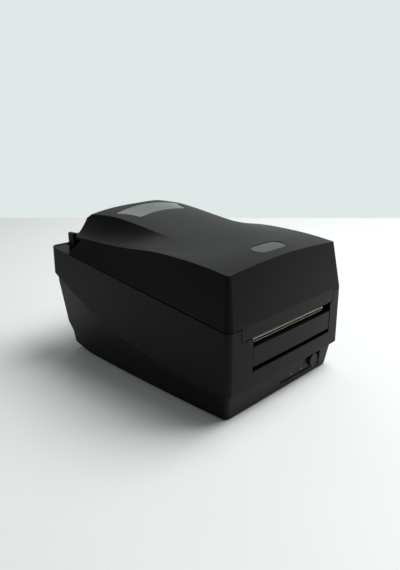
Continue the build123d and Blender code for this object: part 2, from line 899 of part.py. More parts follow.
with BuildPart() as main_board:
    board_z = (main_board_height, main_board_height + board_thickness)
    add(block((-main_board_half, main_board_half), main_board_y, board_z))
    for place in board_post_places:
        add(both_sides(post(place, (0, high), screw_clear_radius)), mode=Mode.SUBTRACT)

main_board.part.label = "main_board"
export_step(main_board.part, "parts/main_board.step")

with BuildPart() as board_chips:
    for x, y, half in chip_places:
        add(block((x - half, x + half), (y - half, y + half), (board_z[1], board_z[1] + chip_height)))

board_chips.part.label = "board_chips"
export_step(board_chips.part, "parts/board_chips.step")

with BuildPart() as board_capacitors:
    for place in capacitor_places:
        add(post(place, (board_z[1], capacitor_top), capacitor_radius))

board_capacitors.part.label = "board_capacitors"
export_step(board_capacitors.part, "parts/board_capacitors.step")

with BuildPart() as interface_board:
    interface_top = interface_height + board_thickness
    add(block((-interface_half, interface_half), interface_y, (interface_height, interface_top)))
    for place in interface_posts:
        add(both_sides(post(place, (0, high), screw_clear_radius)), mode=Mode.SUBTRACT)

interface_board.part.label = "interface_board"
export_step(interface_board.part, "parts/interface_board.step")


def board_socket(x, half, tall):
    """A socket body that stands on the interface board and reaches through the rear wall."""
    return block((x - half, x + half), (socket_front, socket_rear), (interface_top, interface_top + tall))


mouth_depth = 9.0
usb_tongue = (4.0, 3.2)

with BuildPart() as usb_socket:
    add(board_socket(usb_x, usb_half, usb_tall))
    mouth = (socket_rear - mouth_depth, rear)
    mouth_x = (usb_x - usb_half + 1.2, usb_x + usb_half - 1.2)
    mouth_z = (interface_top + 1.2, interface_top + usb_tall - 1.2)
    add(block(mouth_x, mouth, mouth_z), mode=Mode.SUBTRACT)
    middle = interface_top + usb_tall / 2
    half, tall = usb_tongue[0] / 2, usb_tongue[1] / 2
    tip = socket_rear - 1
    add(block((usb_x - half, usb_x + half), (socket_front, tip), (middle - tall, middle + tall)))

usb_socket.part.label = "usb_socket"
export_step(usb_socket.part, "parts/usb_socket.step")

with BuildPart() as serial_socket:
    add(board_socket(serial_x, serial_half, serial_tall))
    middle = interface_top + serial_tall / 2
    mouth_x = (serial_x - 8.4, serial_x + 8.4)
    add(block(mouth_x, (socket_rear - 6, rear), (middle - 4.1, middle + 4.1)), mode=Mode.SUBTRACT)
    core_x = (serial_x - 7.2, serial_x + 7.2)
    add(block(core_x, (socket_front, socket_rear - 0.5), (middle - 2.6, middle + 2.6)))
    for flank in (-1, 1):
        nut = (serial_x + flank * 12.5, middle)
        add(rod((socket_rear - 0.5, socket_rear + 2.0), nut, 2.2))

serial_socket.part.label = "serial_socket"
export_step(serial_socket.part, "parts/serial_socket.step")

with BuildPart() as parallel_socket:
    add(board_socket(parallel_x, parallel_half, parallel_tall))
    middle = interface_top + parallel_tall / 2
    mouth_x = (parallel_x - 21.0, parallel_x + 21.0)
    add(block(mouth_x, (socket_rear - 6, rear), (middle - 4.6, middle + 4.6)), mode=Mode.SUBTRACT)
    core_x = (parallel_x - 19.0, parallel_x + 19.0)
    add(block(core_x, (socket_front, socket_rear - 0.5), (middle - 1.6, middle + 1.6)))

parallel_socket.part.label = "parallel_socket"
export_step(parallel_socket.part, "parts/parallel_socket.step")

with BuildPart() as power_inlet:
    add(board_socket(power_x, power_half, power_tall))
    middle = interface_top + power_tall / 2
    add(rod((socket_rear - mouth_depth, rear), (power_x, middle), 3.2), mode=Mode.SUBTRACT)
    add(rod((socket_front, socket_rear - 1), (power_x, middle), 1.0))

power_inlet.part.label = "power_inlet"
export_step(power_inlet.part, "parts/power_inlet.step")


# Power switch: a body snapped into the rear wall, and the rocker that tips in it
switch_front = 121.0
switch_rear = 137.2
switch_flange_front = 135.8
switch_flange = (11.0, 8.2)
switch_gap = 0.2
recess_half = (7.5, 5.2)
recess_front = 126.5
rocker_pivot = (132.3, switch_height)
rocker_half_width = 7.2
rocker_pin_radius = 1.0
rocker_pin_reach = 8.4
rocker_travel = 14.0

with BuildPart() as power_switch_body:
    across = switch_half_width - switch_gap
    upright = switch_half_height - switch_gap
    for half_x, half_z, y in (
        (across, upright, (switch_front, switch_rear)),
        (*switch_flange, (switch_flange_front, switch_rear)),
    ):
        z_limits = (switch_height - half_z, switch_height + half_z)
        add(block((switch_x - half_x, switch_x + half_x), y, z_limits))
    recess_x = (switch_x - recess_half[0], switch_x + recess_half[0])
    recess_z = (switch_height - recess_half[1], switch_height + recess_half[1])
    add(block(recess_x, (recess_front, rear), recess_z), mode=Mode.SUBTRACT)
    pin_x = (switch_x - rocker_pin_reach - switch_gap, switch_x + rocker_pin_reach + switch_gap)
    add(axle(pin_x, rocker_pivot, rocker_pin_radius + running_gap), mode=Mode.SUBTRACT)

power_switch_body.part.label = "power_switch_body"
export_step(power_switch_body.part, "parts/power_switch_body.step")

with BuildPart() as power_rocker:
    corners = [(-3.0, -3.9), (4.2, -3.9), (3.9, 0.0), (6.0, 3.6), (-3.0, 3.9)]
    outline = [(rocker_pivot[0] + y, rocker_pivot[1] + z) for y, z in corners]
    add(side_plate(outline, (switch_x - rocker_half_width, switch_x + rocker_half_width)))
    add(axle((switch_x - rocker_pin_reach, switch_x + rocker_pin_reach), rocker_pivot, rocker_pin_radius))

power_rocker.part.label = "power_rocker"
export_step(power_rocker.part, "parts/power_rocker.step")


# Places of the turning parts in the side view, each a pair of Y and Z
gear_module = 0.8
platen_teeth, idler_small, idler_large = 30, 18, 44
motor_teeth, lift_teeth, rewind_teeth = 14, 50, 40
pressure_angle = radians(20)
tooth_addendum = 0.8
tooth_dedendum = 1.1
gear_backlash = 0.12
flank_steps = 3


def beside(place, teeth, other_teeth, heading):
    """Centre of a gear that meshes with the one at place, in the given heading."""
    reach = gear_module * (teeth + other_teeth) / 2
    angle = radians(heading)
    return (place[0] + reach * cos(angle), place[1] + reach * sin(angle))


platen_place = (-122.0, 66.5)
idler_place = beside(platen_place, platen_teeth, idler_small, -56.5)
motor_place = beside(idler_place, idler_large, motor_teeth, -21.7)
lift_place = beside(platen_place, platen_teeth, lift_teeth, 48.0)
rewind_place = beside(lift_place, lift_teeth, rewind_teeth, 69.5)
supply_place = (-36.0, 122.0)
carriage_place = (-8.0, 98.0)
near_plane = (-70.5, -65.0)
far_plane = (-76.5, -71.5)

platen_shaft_radius = 3.0
platen_radius = 8.5
platen_half = 56.0
bushing_radius = 5.0
bushing_flange_radius = 6.5
bushing_flange_thickness = 1.0
stud_radius = 2.0
stud_head_radius = 3.3
stud_head_thickness = 0.8
carriage_shaft_radius = 3.0
carriage_shaft_half = 64.5
motor_half = 21.0
motor_length = 33.0
motor_pilot_radius = 11.0
motor_pilot_height = 2.0
motor_shaft_radius = 2.5
motor_screw_half = 15.5

# Side frames: folded steel plates on bosses of the floor, with the motor on the left one
frame_profile = [
    (-116, 12), (-20, 12), (-20, 62), (0, 84), (0, 106), (-16, 106),
    (-30, 97), (-90, 97), (-112, 97), (-131, 78), (-131, 58), (-116, 48),
]
frame_foot_y = (-114.0, -30.0)


def side_frame(side):
    """The frame plate of one side, -1 for left, with its foot and its bearing holes."""
    plate_x = sorted((side * frame_inner, side * frame_outer))
    foot_x = sorted((side * frame_inner, side * frame_foot_reach))
    hole_x = (plate_x[0] - 1, plate_x[1] + 1)
    with BuildPart() as plate:
        add(side_plate(frame_profile, plate_x))
        add(block(foot_x, frame_foot_y, (frame_foot_z, frame_foot_z + frame_thickness)))
        for x, y in frame_screw_places:
            add(post((side * x, y), (0, 2 * frame_foot_z), screw_clear_radius), mode=Mode.SUBTRACT)
        add(axle(hole_x, platen_place, bushing_radius + seat_gap), mode=Mode.SUBTRACT)
        add(axle(hole_x, carriage_place, carriage_shaft_radius + seat_gap), mode=Mode.SUBTRACT)
        if side < 0:
            add(axle(hole_x, motor_place, motor_pilot_radius + seat_gap), mode=Mode.SUBTRACT)
            for place in motor_screw_places:
                add(axle(hole_x, place, screw_clear_radius), mode=Mode.SUBTRACT)
    return plate.part


motor_screw_places = [
    (motor_place[0] + a * motor_screw_half, motor_place[1] + b * motor_screw_half)
    for a in (-1, 1)
    for b in (-1, 1)
]

with BuildPart() as left_side_frame:
    add(side_frame(-1))

left_side_frame.part.label = "left_side_frame"
export_step(left_side_frame.part, "parts/left_side_frame.step")

with BuildPart() as right_side_frame:
    add(side_frame(1))

right_side_frame.part.label = "right_side_frame"
export_step(right_side_frame.part, "parts/right_side_frame.step")

with BuildPart() as stepper_motor:
    body_x = (-frame_inner, motor_length - frame_inner)
    sides = [(place - motor_half, place + motor_half) for place in motor_place]
    add(block(body_x, *sides))
    chamfer(stepper_motor.edges().filter_by(Axis.X), 4)
    add(axle((-frame_inner - motor_pilot_height, 0 - frame_inner), motor_place, motor_pilot_radius))
    bore_x = (-frame_outer - 1, body_x[1] + 1)
    add(axle(bore_x, motor_place, motor_shaft_radius + running_gap), mode=Mode.SUBTRACT)
    for place in motor_screw_places:
        hole_x = (-frame_inner - 1, screw_grip - frame_inner)
        add(axle(hole_x, place, screw_pilot_radius), mode=Mode.SUBTRACT)

stepper_motor.part.label = "stepper_motor"
export_step(stepper_motor.part, "parts/stepper_motor.step")

with BuildPart() as machine_screws:
    for x, y in frame_screw_places:
        top = frame_foot_z + frame_thickness
        add(both_sides(post((x, y), (top, top + screw_head_height), screw_head_radius)))
        add(both_sides(post((x, y), (top - screw_grip, top + screw_head_height), screw_shank_radius)))
    for places, top in ((board_post_places, board_z[1]), (interface_posts, interface_top)):
        for place in places:
            add(both_sides(post(place, (top, top + screw_head_height), screw_head_radius)))
            add(both_sides(post(place, (top - screw_grip, top + screw_head_height), screw_shank_radius)))
    for place in motor_screw_places:
        head_x = (-frame_outer - screw_head_height, -frame_outer)
        shank_x = (head_x[0], screw_grip - 1 - frame_inner)
        add(axle(head_x, place, screw_head_radius))
        add(axle(shank_x, place, screw_shank_radius))

machine_screws.part.label = "machine_screws"
export_step(machine_screws.part, "parts/machine_screws.step")

with BuildPart() as platen_bushings:
    flange_x = (frame_inner - bushing_flange_thickness, frame_inner)
    add(both_sides(axle(flange_x, platen_place, bushing_flange_radius)))
    add(both_sides(axle((flange_x[0], frame_outer), platen_place, bushing_radius)))
    bore = axle((flange_x[0] - 1, frame_outer + 1), platen_place, platen_shaft_radius + running_gap)
    add(both_sides(bore), mode=Mode.SUBTRACT)

platen_bushings.part.label = "platen_bushings"
export_step(platen_bushings.part, "parts/platen_bushings.step")

with BuildPart() as gear_studs:
    for place, end in ((idler_place, far_plane[0]), (lift_place, near_plane[0])):
        head_x = (end - running_gap * 5 - stud_head_thickness, end - running_gap * 5)
        add(axle((head_x[0], -frame_outer), place, stud_radius))
        add(axle(head_x, place, stud_head_radius))

gear_studs.part.label = "gear_studs"
export_step(gear_studs.part, "parts/gear_studs.step")

with BuildPart() as carriage_shaft:
    add(axle((-carriage_shaft_half, carriage_shaft_half), carriage_place, carriage_shaft_radius))

carriage_shaft.part.label = "carriage_shaft"
export_step(carriage_shaft.part, "parts/carriage_shaft.step")

with BuildPart() as hinge_pins:
    add(both_sides(axle((hinge_eye[0] + 0.5, hinge_pin_end), hinge_place, hinge_pin_radius)))

hinge_pins.part.label = "hinge_pins"
export_step(hinge_pins.part, "parts/hinge_pins.step")


def rack_outline(x, line, facing, module):
    """A toothed bar along X: its pitch line is at y = line, its teeth point along facing."""
    step = pi * module
    half = step / 4 - gear_backlash / 2
    tip, root = line + facing * tooth_addendum * module, line - facing * tooth_dedendum * module
    tip_half = half - tooth_addendum * module * tan(pressure_angle)
    root_half = half + tooth_dedendum * module * tan(pressure_angle)
    back = line - facing * rack_depth
    low, top = x
    outline = [(low, back), (low, root)]
    for k in range(ceil(low / step), floor(top / step)):
        centre = (k + 0.5) * step
        outline += [(centre - root_half, root), (centre - tip_half, tip)]
        outline += [(centre + tip_half, tip), (centre + root_half, root)]
    return outline + [(top, root), (top, back)]


def involute(angle):
    """Involute function of a pressure angle."""
    return tan(angle) - angle


def gear(plane, teeth, module, phase, width):
    """A spur gear that stands on plane, with one tooth pointing at the angle phase."""
    pitch = module * teeth / 2
    base = pitch * cos(pressure_angle)
    tip = pitch + tooth_addendum * module
    root = pitch - tooth_dedendum * module
    half = (pi * module / 2 - gear_backlash) / (2 * pitch)
    start = max(base, root)
    flank = []
    for k in range(flank_steps + 1):
        radius = start + (tip - start) * k / flank_steps
        lean = half + involute(pressure_angle) - involute(acos(min(1, base / radius)))
        flank.append((radius, lean))
    if root < start:
        flank.insert(0, (root, flank[0][1]))
    outline = []
    for i in range(teeth):
        centre = phase + 2 * pi * i / teeth
        rise = [(radius, centre - lean) for radius, lean in flank]
        fall = [(radius, centre + lean) for radius, lean in reversed(flank)]
        outline += [(radius * cos(angle), radius * sin(angle)) for radius, angle in rise + fall]
    with BuildPart() as wheel:
        with BuildSketch(plane):
            with BuildLine():
                Polyline(*outline, close=True)
            make_face()
        extrude(amount=width)
    return wheel.part


def side_gear(x, place, teeth, phase):
    """A gear of the drive train, between two limits across the printer."""
    plane = Plane(origin=(x[0], *place), x_dir=(0, 1, 0), z_dir=(1, 0, 0))
    return gear(plane, teeth, gear_module, phase, x[1] - x[0])


def meshed_phase(phase, teeth, place, other_teeth, other_place):
    """Where a tooth of the second gear points when it meshes with the first."""
    heading = atan2(other_place[1] - place[1], other_place[0] - place[0])
    return heading + pi + (heading - phase) * teeth / other_teeth + pi / other_teeth


# Media bed between the frames, with its label guides and the gap sensor
bed_half = frame_inner
bed_y = (-110.5, -4.0)
bed_top = 72.5
bed_thickness = 1.5
rack_module = 1.0
rack_teeth = 16
rack_radius = rack_module * rack_teeth / 2
rack_depth = 4.0
pinion_post_radius = 2.5
guide_y = -42.0
guide_rack_z = (66.5, 69.5)
guide_foot_top = 70.4
guide_fence_x = (-56.0, -54.0)
guide_fence_half = 32.0
guide_fence_top = 80.0
guide_neck_half = 5.0
guide_travel = 34.0
bed_gap = 0.4
sensor_x = (-6.0, 6.0)
sensor_y = (-103.0, -95.0)
sensor_z = (66.0, 73.0)
sensor_lip = 1.2


def pinion(y, z):
    """The pinion between two racks, lying flat, with teeth square to them."""
    plane = Plane(origin=(0, y, z[0]), x_dir=(1, 0, 0), z_dir=(0, 0, 1))
    with BuildPart() as wheel:
        add(gear(plane, rack_teeth, rack_module, radians(90), z[1] - z[0]))
        bore = post((0, y), (z[0] - 1, z[1] + 1), pinion_post_radius + running_gap)
        add(bore, mode=Mode.SUBTRACT)
    return wheel.part


def rack_bar(x, y, z):
    """The front one of two racks that share a pinion centred at y."""
    with BuildPart() as bar:
        with BuildSketch(Plane.XY.offset(z[0])):
            with BuildLine():
                Polyline(*rack_outline(x, y - rack_radius, 1, rack_module), close=True)
            make_face()
        extrude(amount=z[1] - z[0])
    return bar.part


def other_side(shape, y):
    """The shape turned half round about the pinion, which makes the other rack of the pair."""
    return shape.rotate(Axis((0, y, 0), (0, 0, 1)), 180)


with BuildPart() as media_bed:
    add(block((-bed_half, bed_half), bed_y, (bed_top - bed_thickness, bed_top)))
    slot_x = (guide_fence_x[0] - slide_gap, guide_fence_x[1] + guide_travel + 1 + slide_gap)
    slot_y = (guide_y - guide_neck_half - slide_gap, guide_y + guide_neck_half + slide_gap)
    add(both_sides(block(slot_x, slot_y, (0, high))), mode=Mode.SUBTRACT)
    window_x = (sensor_x[0] - slide_gap, sensor_x[1] + slide_gap)
    window_y = (sensor_y[0] - slide_gap, sensor_y[1] + slide_gap)
    add(block(window_x, window_y, (0, high)), mode=Mode.SUBTRACT)
    add(post((0, guide_y), (guide_rack_z[0], bed_top), pinion_post_radius))

media_bed.part.label = "media_bed"
export_step(media_bed.part, "parts/media_bed.step")

with BuildPart() as media_sensor:
    add(block(sensor_x, sensor_y, sensor_z))
    lip_x = (sensor_x[0] - sensor_lip, sensor_x[1] + sensor_lip)
    lip_y = (sensor_y[0] - sensor_lip, sensor_y[1] + sensor_lip)
    add(block(lip_x, lip_y, (bed_top - bed_thickness - sensor_lip, bed_top - bed_thickness)))

media_sensor.part.label = "media_sensor"
export_step(media_sensor.part, "parts/media_sensor.step")

with BuildPart() as left_guide:
    fence_y = (guide_y - guide_fence_half, guide_y + guide_fence_half)
    neck_y = (guide_y - guide_neck_half, guide_y + guide_neck_half)
    neck_x = (guide_fence_x[0], guide_fence_x[1] + 1)
    add(block(guide_fence_x, fence_y, (bed_top + bed_gap, guide_fence_top)))
    add(block(neck_x, neck_y, (guide_rack_z[1], bed_top + 2 * bed_gap)))
    foot_y = (guide_y - rack_radius - rack_depth, guide_y + guide_neck_half)
    add(block((neck_x[0] - 1, neck_x[1]), foot_y, (guide_rack_z[1], guide_foot_top)))
    bar_x = (guide_fence_x[0] - 1, rack_radius)
    add(rack_bar(bar_x, guide_y, guide_rack_z))

left_guide.part.label = "left_guide"
export_step(left_guide.part, "parts/left_guide.step")

with BuildPart() as right_guide:
    add(other_side(left_guide.part, guide_y))

right_guide.part.label = "right_guide"
export_step(right_guide.part, "parts/right_guide.step")

with BuildPart() as guide_pinion:
    add(pinion(guide_y, guide_rack_z))

guide_pinion.part.label = "guide_pinion"
export_step(guide_pinion.part, "parts/guide_pinion.step")


# Media tray: the trough for the label roll, with the sprung holders that grip it
roll_place = (62.0, 108.0)
tray_radius = 66.0
tray_thickness = 1.8
tray_half = 68.0
tray_front = -4.0
tray_lip_height = 76.0
tray_rear_height = 124.0
tray_drop = 6.4
tray_flange = (-8.0, -6.0)
tray_flange_reach = half_width - 3.1
tray_flange_end = 103.5
holder_post_x = (-18.0, -14.0)
holder_half = 12.0
holder_low = 43.8
holder_neck_half = 5.0
holder_rack_z = (34.0, 37.0)
holder_foot_top = 39.2
holder_travel = 44.0
hub_stub_radius = 5.0
hub_stub_end = -4.0
hub_core_radius = 12.5
hub_core_end = -3.0
hub_flange_radius = 24.0
hub_flange_thickness = 2.0
hub_gap = 0.3
outer_radius = tray_radius + tray_thickness

rear_y = (roll_place[0] + tray_radius, roll_place[0] + outer_radius)

with BuildPart() as tray_end:
    add(axle((tray_radius, tray_half), roll_place, outer_radius))
    add(block((tray_radius, tray_half), (tray_front, rear_y[1]), (roll_place[1], high)))
    below_rim = (-high, -tray_drop)
    add(seam_slab((0, half_width), (tray_front, rear_y[1]), below_rim), mode=Mode.INTERSECT)

with BuildPart() as media_tray:
    with BuildSketch(Plane.YZ.offset(-tray_half)):
        with Locations(roll_place):
            Circle(outer_radius)
            Circle(tray_radius, mode=Mode.SUBTRACT)
        with Locations((roll_place[0], roll_place[1] + outer_radius)):
            Rectangle(2.1 * outer_radius, 2 * outer_radius, mode=Mode.SUBTRACT)
        with Locations((roll_place[0] - outer_radius, tray_lip_height + outer_radius)):
            Rectangle(2 * outer_radius, 2 * outer_radius, mode=Mode.SUBTRACT)
    extrude(amount=2 * tray_half)
    lip_rear = roll_place[0] - sqrt(tray_radius**2 - (roll_place[1] - tray_lip_height) ** 2)
    lip_z = (tray_lip_height - tray_thickness, tray_lip_height)
    add(block((-tray_half, tray_half), (tray_front + 0.2, lip_rear), lip_z))
    add(block((-tray_half, tray_half), rear_y, (roll_place[1] - 1, tray_rear_height)))
    add(both_sides(tray_end.part))
    flange_x = (tray_radius + 1, tray_flange_reach)
    add(both_sides(seam_slab(flange_x, (tray_front, tray_flange_end), tray_flange)))
    narrow_x = (tray_radius + 1, tower[0] - slide_gap)
    add(both_sides(seam_slab(narrow_x, (tray_flange_end - 1, shelf_front - 0.2), tray_flange)))
    slot_x = (holder_post_x[0] - holder_travel - slide_gap, holder_post_x[1] + slide_gap)
    slot_y = [roll_place[0] - holder_neck_half - slide_gap, roll_place[0] + holder_neck_half + slide_gap]
    add(both_sides(block(slot_x, slot_y, (0, holder_low + 5))), mode=Mode.SUBTRACT)
    tray_bottom = roll_place[1] - outer_radius
    add(post((0, roll_place[0]), (holder_rack_z[0], tray_bottom + 1), pinion_post_radius))

media_tray.part.label = "media_tray"
export_step(media_tray.part, "parts/media_tray.step")

with BuildPart() as left_holder:
    holder_y = (roll_place[0] - holder_half, roll_place[0] + holder_half)
    neck_y = (roll_place[0] - holder_neck_half, roll_place[0] + holder_neck_half)
    add(block(holder_post_x, holder_y, (holder_low, roll_place[1])))
    add(axle(holder_post_x, roll_place, holder_half))
    add(axle((holder_post_x[0], hub_stub_end), roll_place, hub_stub_radius))
    add(block(holder_post_x, neck_y, (holder_rack_z[1], holder_low + 1)))
    foot_y = (roll_place[0] - rack_radius - rack_depth, neck_y[1])
    add(block(holder_post_x, foot_y, (holder_rack_z[1], holder_foot_top)))
    bar_x = (holder_post_x[0], holder_travel + rack_radius)
    add(rack_bar(bar_x, roll_place[0], holder_rack_z))

left_holder.part.label = "left_holder"
export_step(left_holder.part, "parts/left_holder.step")

with BuildPart() as right_holder:
    add(other_side(left_holder.part, roll_place[0]))

right_holder.part.label = "right_holder"
export_step(right_holder.part, "parts/right_holder.step")

with BuildPart() as holder_pinion:
    add(pinion(roll_place[0], holder_rack_z))

holder_pinion.part.label = "holder_pinion"
export_step(holder_pinion.part, "parts/holder_pinion.step")

with BuildPart() as left_hub:
    flange_low = holder_post_x[1] + hub_gap
    add(axle((flange_low, flange_low + hub_flange_thickness), roll_place, hub_flange_radius))
    add(axle((flange_low, hub_core_end), roll_place, hub_core_radius))
    bore = (flange_low - 1, hub_stub_end + slide_gap)
    add(axle(bore, roll_place, hub_stub_radius + running_gap), mode=Mode.SUBTRACT)

left_hub.part.label = "left_hub"
export_step(left_hub.part, "parts/left_hub.step")

with BuildPart() as right_hub:
    add(mirror(left_hub.part, about=Plane.YZ))

right_hub.part.label = "right_hub"
export_step(right_hub.part, "parts/right_hub.step")


# Covers over the gaps between the frames and the case
inner_cover_y = (-133.0, -6.0)
gear_slot_y = (-124.0, -78.0)


def inner_cover(side):
    """The cover plate of one side, -1 for left, where the gear train stands up through it."""
    limits = sorted((side * frame_outer, side * tray_flange_reach))
    with BuildPart() as plate:
        add(seam_slab(limits, inner_cover_y, tray_flange))
        if side < 0:
            slot_x = (near_plane[0] - 4 * slide_gap, -frame_outer + 1)
            add(block(slot_x, gear_slot_y, (0, high)), mode=Mode.SUBTRACT)
    return plate.part


with BuildPart() as left_inner_cover:
    add(inner_cover(-1))

left_inner_cover.part.label = "left_inner_cover"
export_step(left_inner_cover.part, "parts/left_inner_cover.step")

with BuildPart() as right_inner_cover:
    add(inner_cover(1))

right_inner_cover.part.label = "right_inner_cover"
export_step(right_inner_cover.part, "parts/right_inner_cover.step")


# Drive train on the left: motor, idler, platen and lift gear, and the rewind gear above
platen_phase = radians(90)
idler_phase = meshed_phase(platen_phase, platen_teeth, platen_place, idler_small, idler_place)
motor_phase = meshed_phase(idler_phase, idler_large, idler_place, motor_teeth, motor_place)
lift_phase = meshed_phase(platen_phase, platen_teeth, platen_place, lift_teeth, lift_place)
rewind_phase = meshed_phase(lift_phase, lift_teeth, lift_place, rewind_teeth, rewind_place)
motor_shaft_end = 20.0
platen_end = 63.5

with BuildPart() as motor_pinion:
    add(side_gear(far_plane, motor_place, motor_teeth, motor_phase))
    add(axle((far_plane[0], motor_shaft_end - frame_inner), motor_place, motor_shaft_radius))

motor_pinion.part.label = "motor_pinion"
export_step(motor_pinion.part, "parts/motor_pinion.step")

with BuildPart() as idler_gear:
    add(side_gear(near_plane, idler_place, idler_small, idler_phase))
    add(side_gear(far_plane, idler_place, idler_large, idler_phase))
    add(axle((far_plane[1] - 1, near_plane[0] + 1), idler_place, idler_small * gear_module / 3))
    bore = axle((far_plane[0] - 1, near_plane[1] + 1), idler_place, stud_radius + running_gap)
    add(bore, mode=Mode.SUBTRACT)

idler_gear.part.label = "idler_gear"
export_step(idler_gear.part, "parts/idler_gear.step")

with BuildPart() as platen_gear:
    add(side_gear(near_plane, platen_place, platen_teeth, platen_phase))
    bore = axle((near_plane[0] - 1, near_plane[1] + 1), platen_place, platen_shaft_radius + seat_gap)
    add(bore, mode=Mode.SUBTRACT)

platen_gear.part.label = "platen_gear"
export_step(platen_gear.part, "parts/platen_gear.step")

with BuildPart() as platen_shaft:
    add(axle((near_plane[0], platen_end), platen_place, platen_shaft_radius))

platen_shaft.part.label = "platen_shaft"
export_step(platen_shaft.part, "parts/platen_shaft.step")

with BuildPart() as platen_roller:
    add(axle((-platen_half, platen_half), platen_place, platen_radius))
    bore = axle((-platen_half - 1, platen_half + 1), platen_place, platen_shaft_radius)
    add(bore, mode=Mode.SUBTRACT)

platen_roller.part.label = "platen_roller"
export_step(platen_roller.part, "parts/platen_roller.step")

with BuildPart() as lift_gear:
    add(side_gear(near_plane, lift_place, lift_teeth, lift_phase))
    bore = axle((near_plane[0] - 1, near_plane[1] + 1), lift_place, stud_radius + running_gap)
    add(bore, mode=Mode.SUBTRACT)

lift_gear.part.label = "lift_gear"
export_step(lift_gear.part, "parts/lift_gear.step")


# Print head: a carriage that swings up on its shaft and carries the head and the ribbon
arm_x = (58.0, 60.0)
arm_profile = [
    (-8, 90.5), (-100, 82), (-131, 77.5), (-131, 98), (-112, 133),
    (-64, 135), (-14, 133), (0, 104), (-1, 95),
]
pivot_boss_radius = 8.0
pivot_tube_radius = 5.0
tie_place = (-62.0, 100.0)
tie_radius = 4.0
front_bar_y = (-131.0, -128.6)
front_bar_z = (84.0, 97.0)
head_beam_y = (-121.0, -100.0)
head_beam_z = (94.6, 97.0)
spindle_radius = 4.0
spindle_core_radius = 6.25
spindle_core_half = 55.0
supply_flange_radius = 15.0
sink_half = 54.0
sink_y = (-126.0, -104.0)
sink_z = (77.6, 88.0)
sink_base = 3.4
fin_thickness = 1.6
fin_pitch = 6.0
lug_place = (-106.0, 85.0)
lug_radius = 1.5
spring_places = [(30.0, -116.0)]
head_spring_radius = 3.5
head_spring_wire = 0.7
head_z = (75.3, 77.6)
head_y = (-125.0, -105.0)
chip_cover_y = (-112.0, -106.0)
chip_cover_drop = 1.4
ribbon_rod_radius = 2.0
ribbon_rod_places = [(-124.5, 91.0), (-98.0, 84.8)]
tear_half = 61.8
tear_leg_y = (-131.8, -131.0)
tear_leg_z = (79.6, 92.0)
tear_front = -138.2
tear_lip_low = 78.6
tear_thickness = 0.8
upstand_x = (-60.0, 53.0)
upstand_y = (-136.6, -135.8)
upstand_top = 82.3
spindle_hole = spindle_radius + running_gap

with BuildPart() as head_carriage:
    add(both_sides(side_plate(arm_profile, arm_x)))
    add(both_sides(axle(arm_x, carriage_place, pivot_boss_radius)))
    add(axle((-arm_x[1], arm_x[1]), carriage_place, pivot_tube_radius))
    add(axle((-arm_x[1], arm_x[1]), tie_place, tie_radius))
    add(block((-arm_x[1], arm_x[1]), front_bar_y, front_bar_z))
    add(block((-arm_x[1], arm_x[1]), head_beam_y, head_beam_z))
    across = (-arm_x[1] - 1, arm_x[1] + 1)
    add(axle(across, carriage_place, carriage_shaft_radius + running_gap), mode=Mode.SUBTRACT)
    add(axle(across, rewind_place, spindle_hole), mode=Mode.SUBTRACT)
    add(axle(across, supply_place, spindle_hole), mode=Mode.SUBTRACT)
    hole_x = (arm_x[0] - 1, arm_x[1] + 1)
    add(both_sides(axle(hole_x, lug_place, lug_radius + 0.1)), mode=Mode.SUBTRACT)

head_carriage.part.label = "head_carriage"
export_step(head_carriage.part, "parts/head_carriage.step")

with BuildPart() as heat_sink:
    add(block((-sink_half, sink_half), sink_y, (sink_z[0], sink_z[0] + sink_base)))
    fin_count = floor(sink_half / fin_pitch)
    for i in range(-fin_count, fin_count + 1):
        middle = i * fin_pitch
        add(block((middle - fin_thickness / 2, middle + fin_thickness / 2), sink_y, sink_z))
    for x, y in spring_places:
        add(both_sides(post((x, y), sink_z, head_spring_radius + 1)))
    lug_x = (sink_half - fin_thickness, arm_x[1] - 0.2)
    ear = block(
        (sink_half - 2 * fin_thickness, sink_half),
        (lug_place[0] - 2 * lug_radius, lug_place[0] + lug_radius),
        (sink_z[0], lug_place[1] + 2 * lug_radius),
    )
    add(both_sides(ear))
    add(both_sides(axle(lug_x, lug_place, lug_radius)))

heat_sink.part.label = "heat_sink"
export_step(heat_sink.part, "parts/heat_sink.step")

with BuildPart() as thermal_head:
    add(block((-sink_half, sink_half), head_y, head_z))
    add(block((-sink_half, sink_half), chip_cover_y, (head_z[0] - chip_cover_drop, head_z[0])))

thermal_head.part.label = "thermal_head"
export_step(thermal_head.part, "parts/thermal_head.step")

with BuildPart() as head_springs:
    for x, y in spring_places:
        span = (sink_z[1], head_beam_z[0])
        add(both_sides(post((x, y), span, head_spring_radius)))
        inner = post((x, y), span, head_spring_radius - head_spring_wire)
        add(both_sides(inner), mode=Mode.SUBTRACT)

head_springs.part.label = "head_springs"
export_step(head_springs.part, "parts/head_springs.step")

with BuildPart() as tear_bar:
    add(block((-tear_half, tear_half), tear_leg_y, tear_leg_z))
    flange_z = (tear_leg_z[0], tear_leg_z[0] + tear_thickness)
    add(block((-tear_half, tear_half), (tear_front, tear_leg_y[1]), flange_z))
    lip_y = (tear_front, tear_front + tear_thickness)
    add(block((-tear_half, tear_half), lip_y, (tear_lip_low, flange_z[1])))
    add(block(upstand_x, upstand_y, (flange_z[0], upstand_top)))

tear_bar.part.label = "tear_bar"
export_step(tear_bar.part, "parts/tear_bar.step")

with BuildPart() as ribbon_rods:
    for place in ribbon_rod_places:
        add(axle((-arm_x[0], arm_x[0]), place, ribbon_rod_radius))

ribbon_rods.part.label = "ribbon_rods"
export_step(ribbon_rods.part, "parts/ribbon_rods.step")

with BuildPart() as rewind_spindle:
    add(axle((near_plane[0], arm_x[1]), rewind_place, spindle_radius))
    add(axle((-spindle_core_half, spindle_core_half), rewind_place, spindle_core_radius))

rewind_spindle.part.label = "rewind_spindle"
export_step(rewind_spindle.part, "parts/rewind_spindle.step")

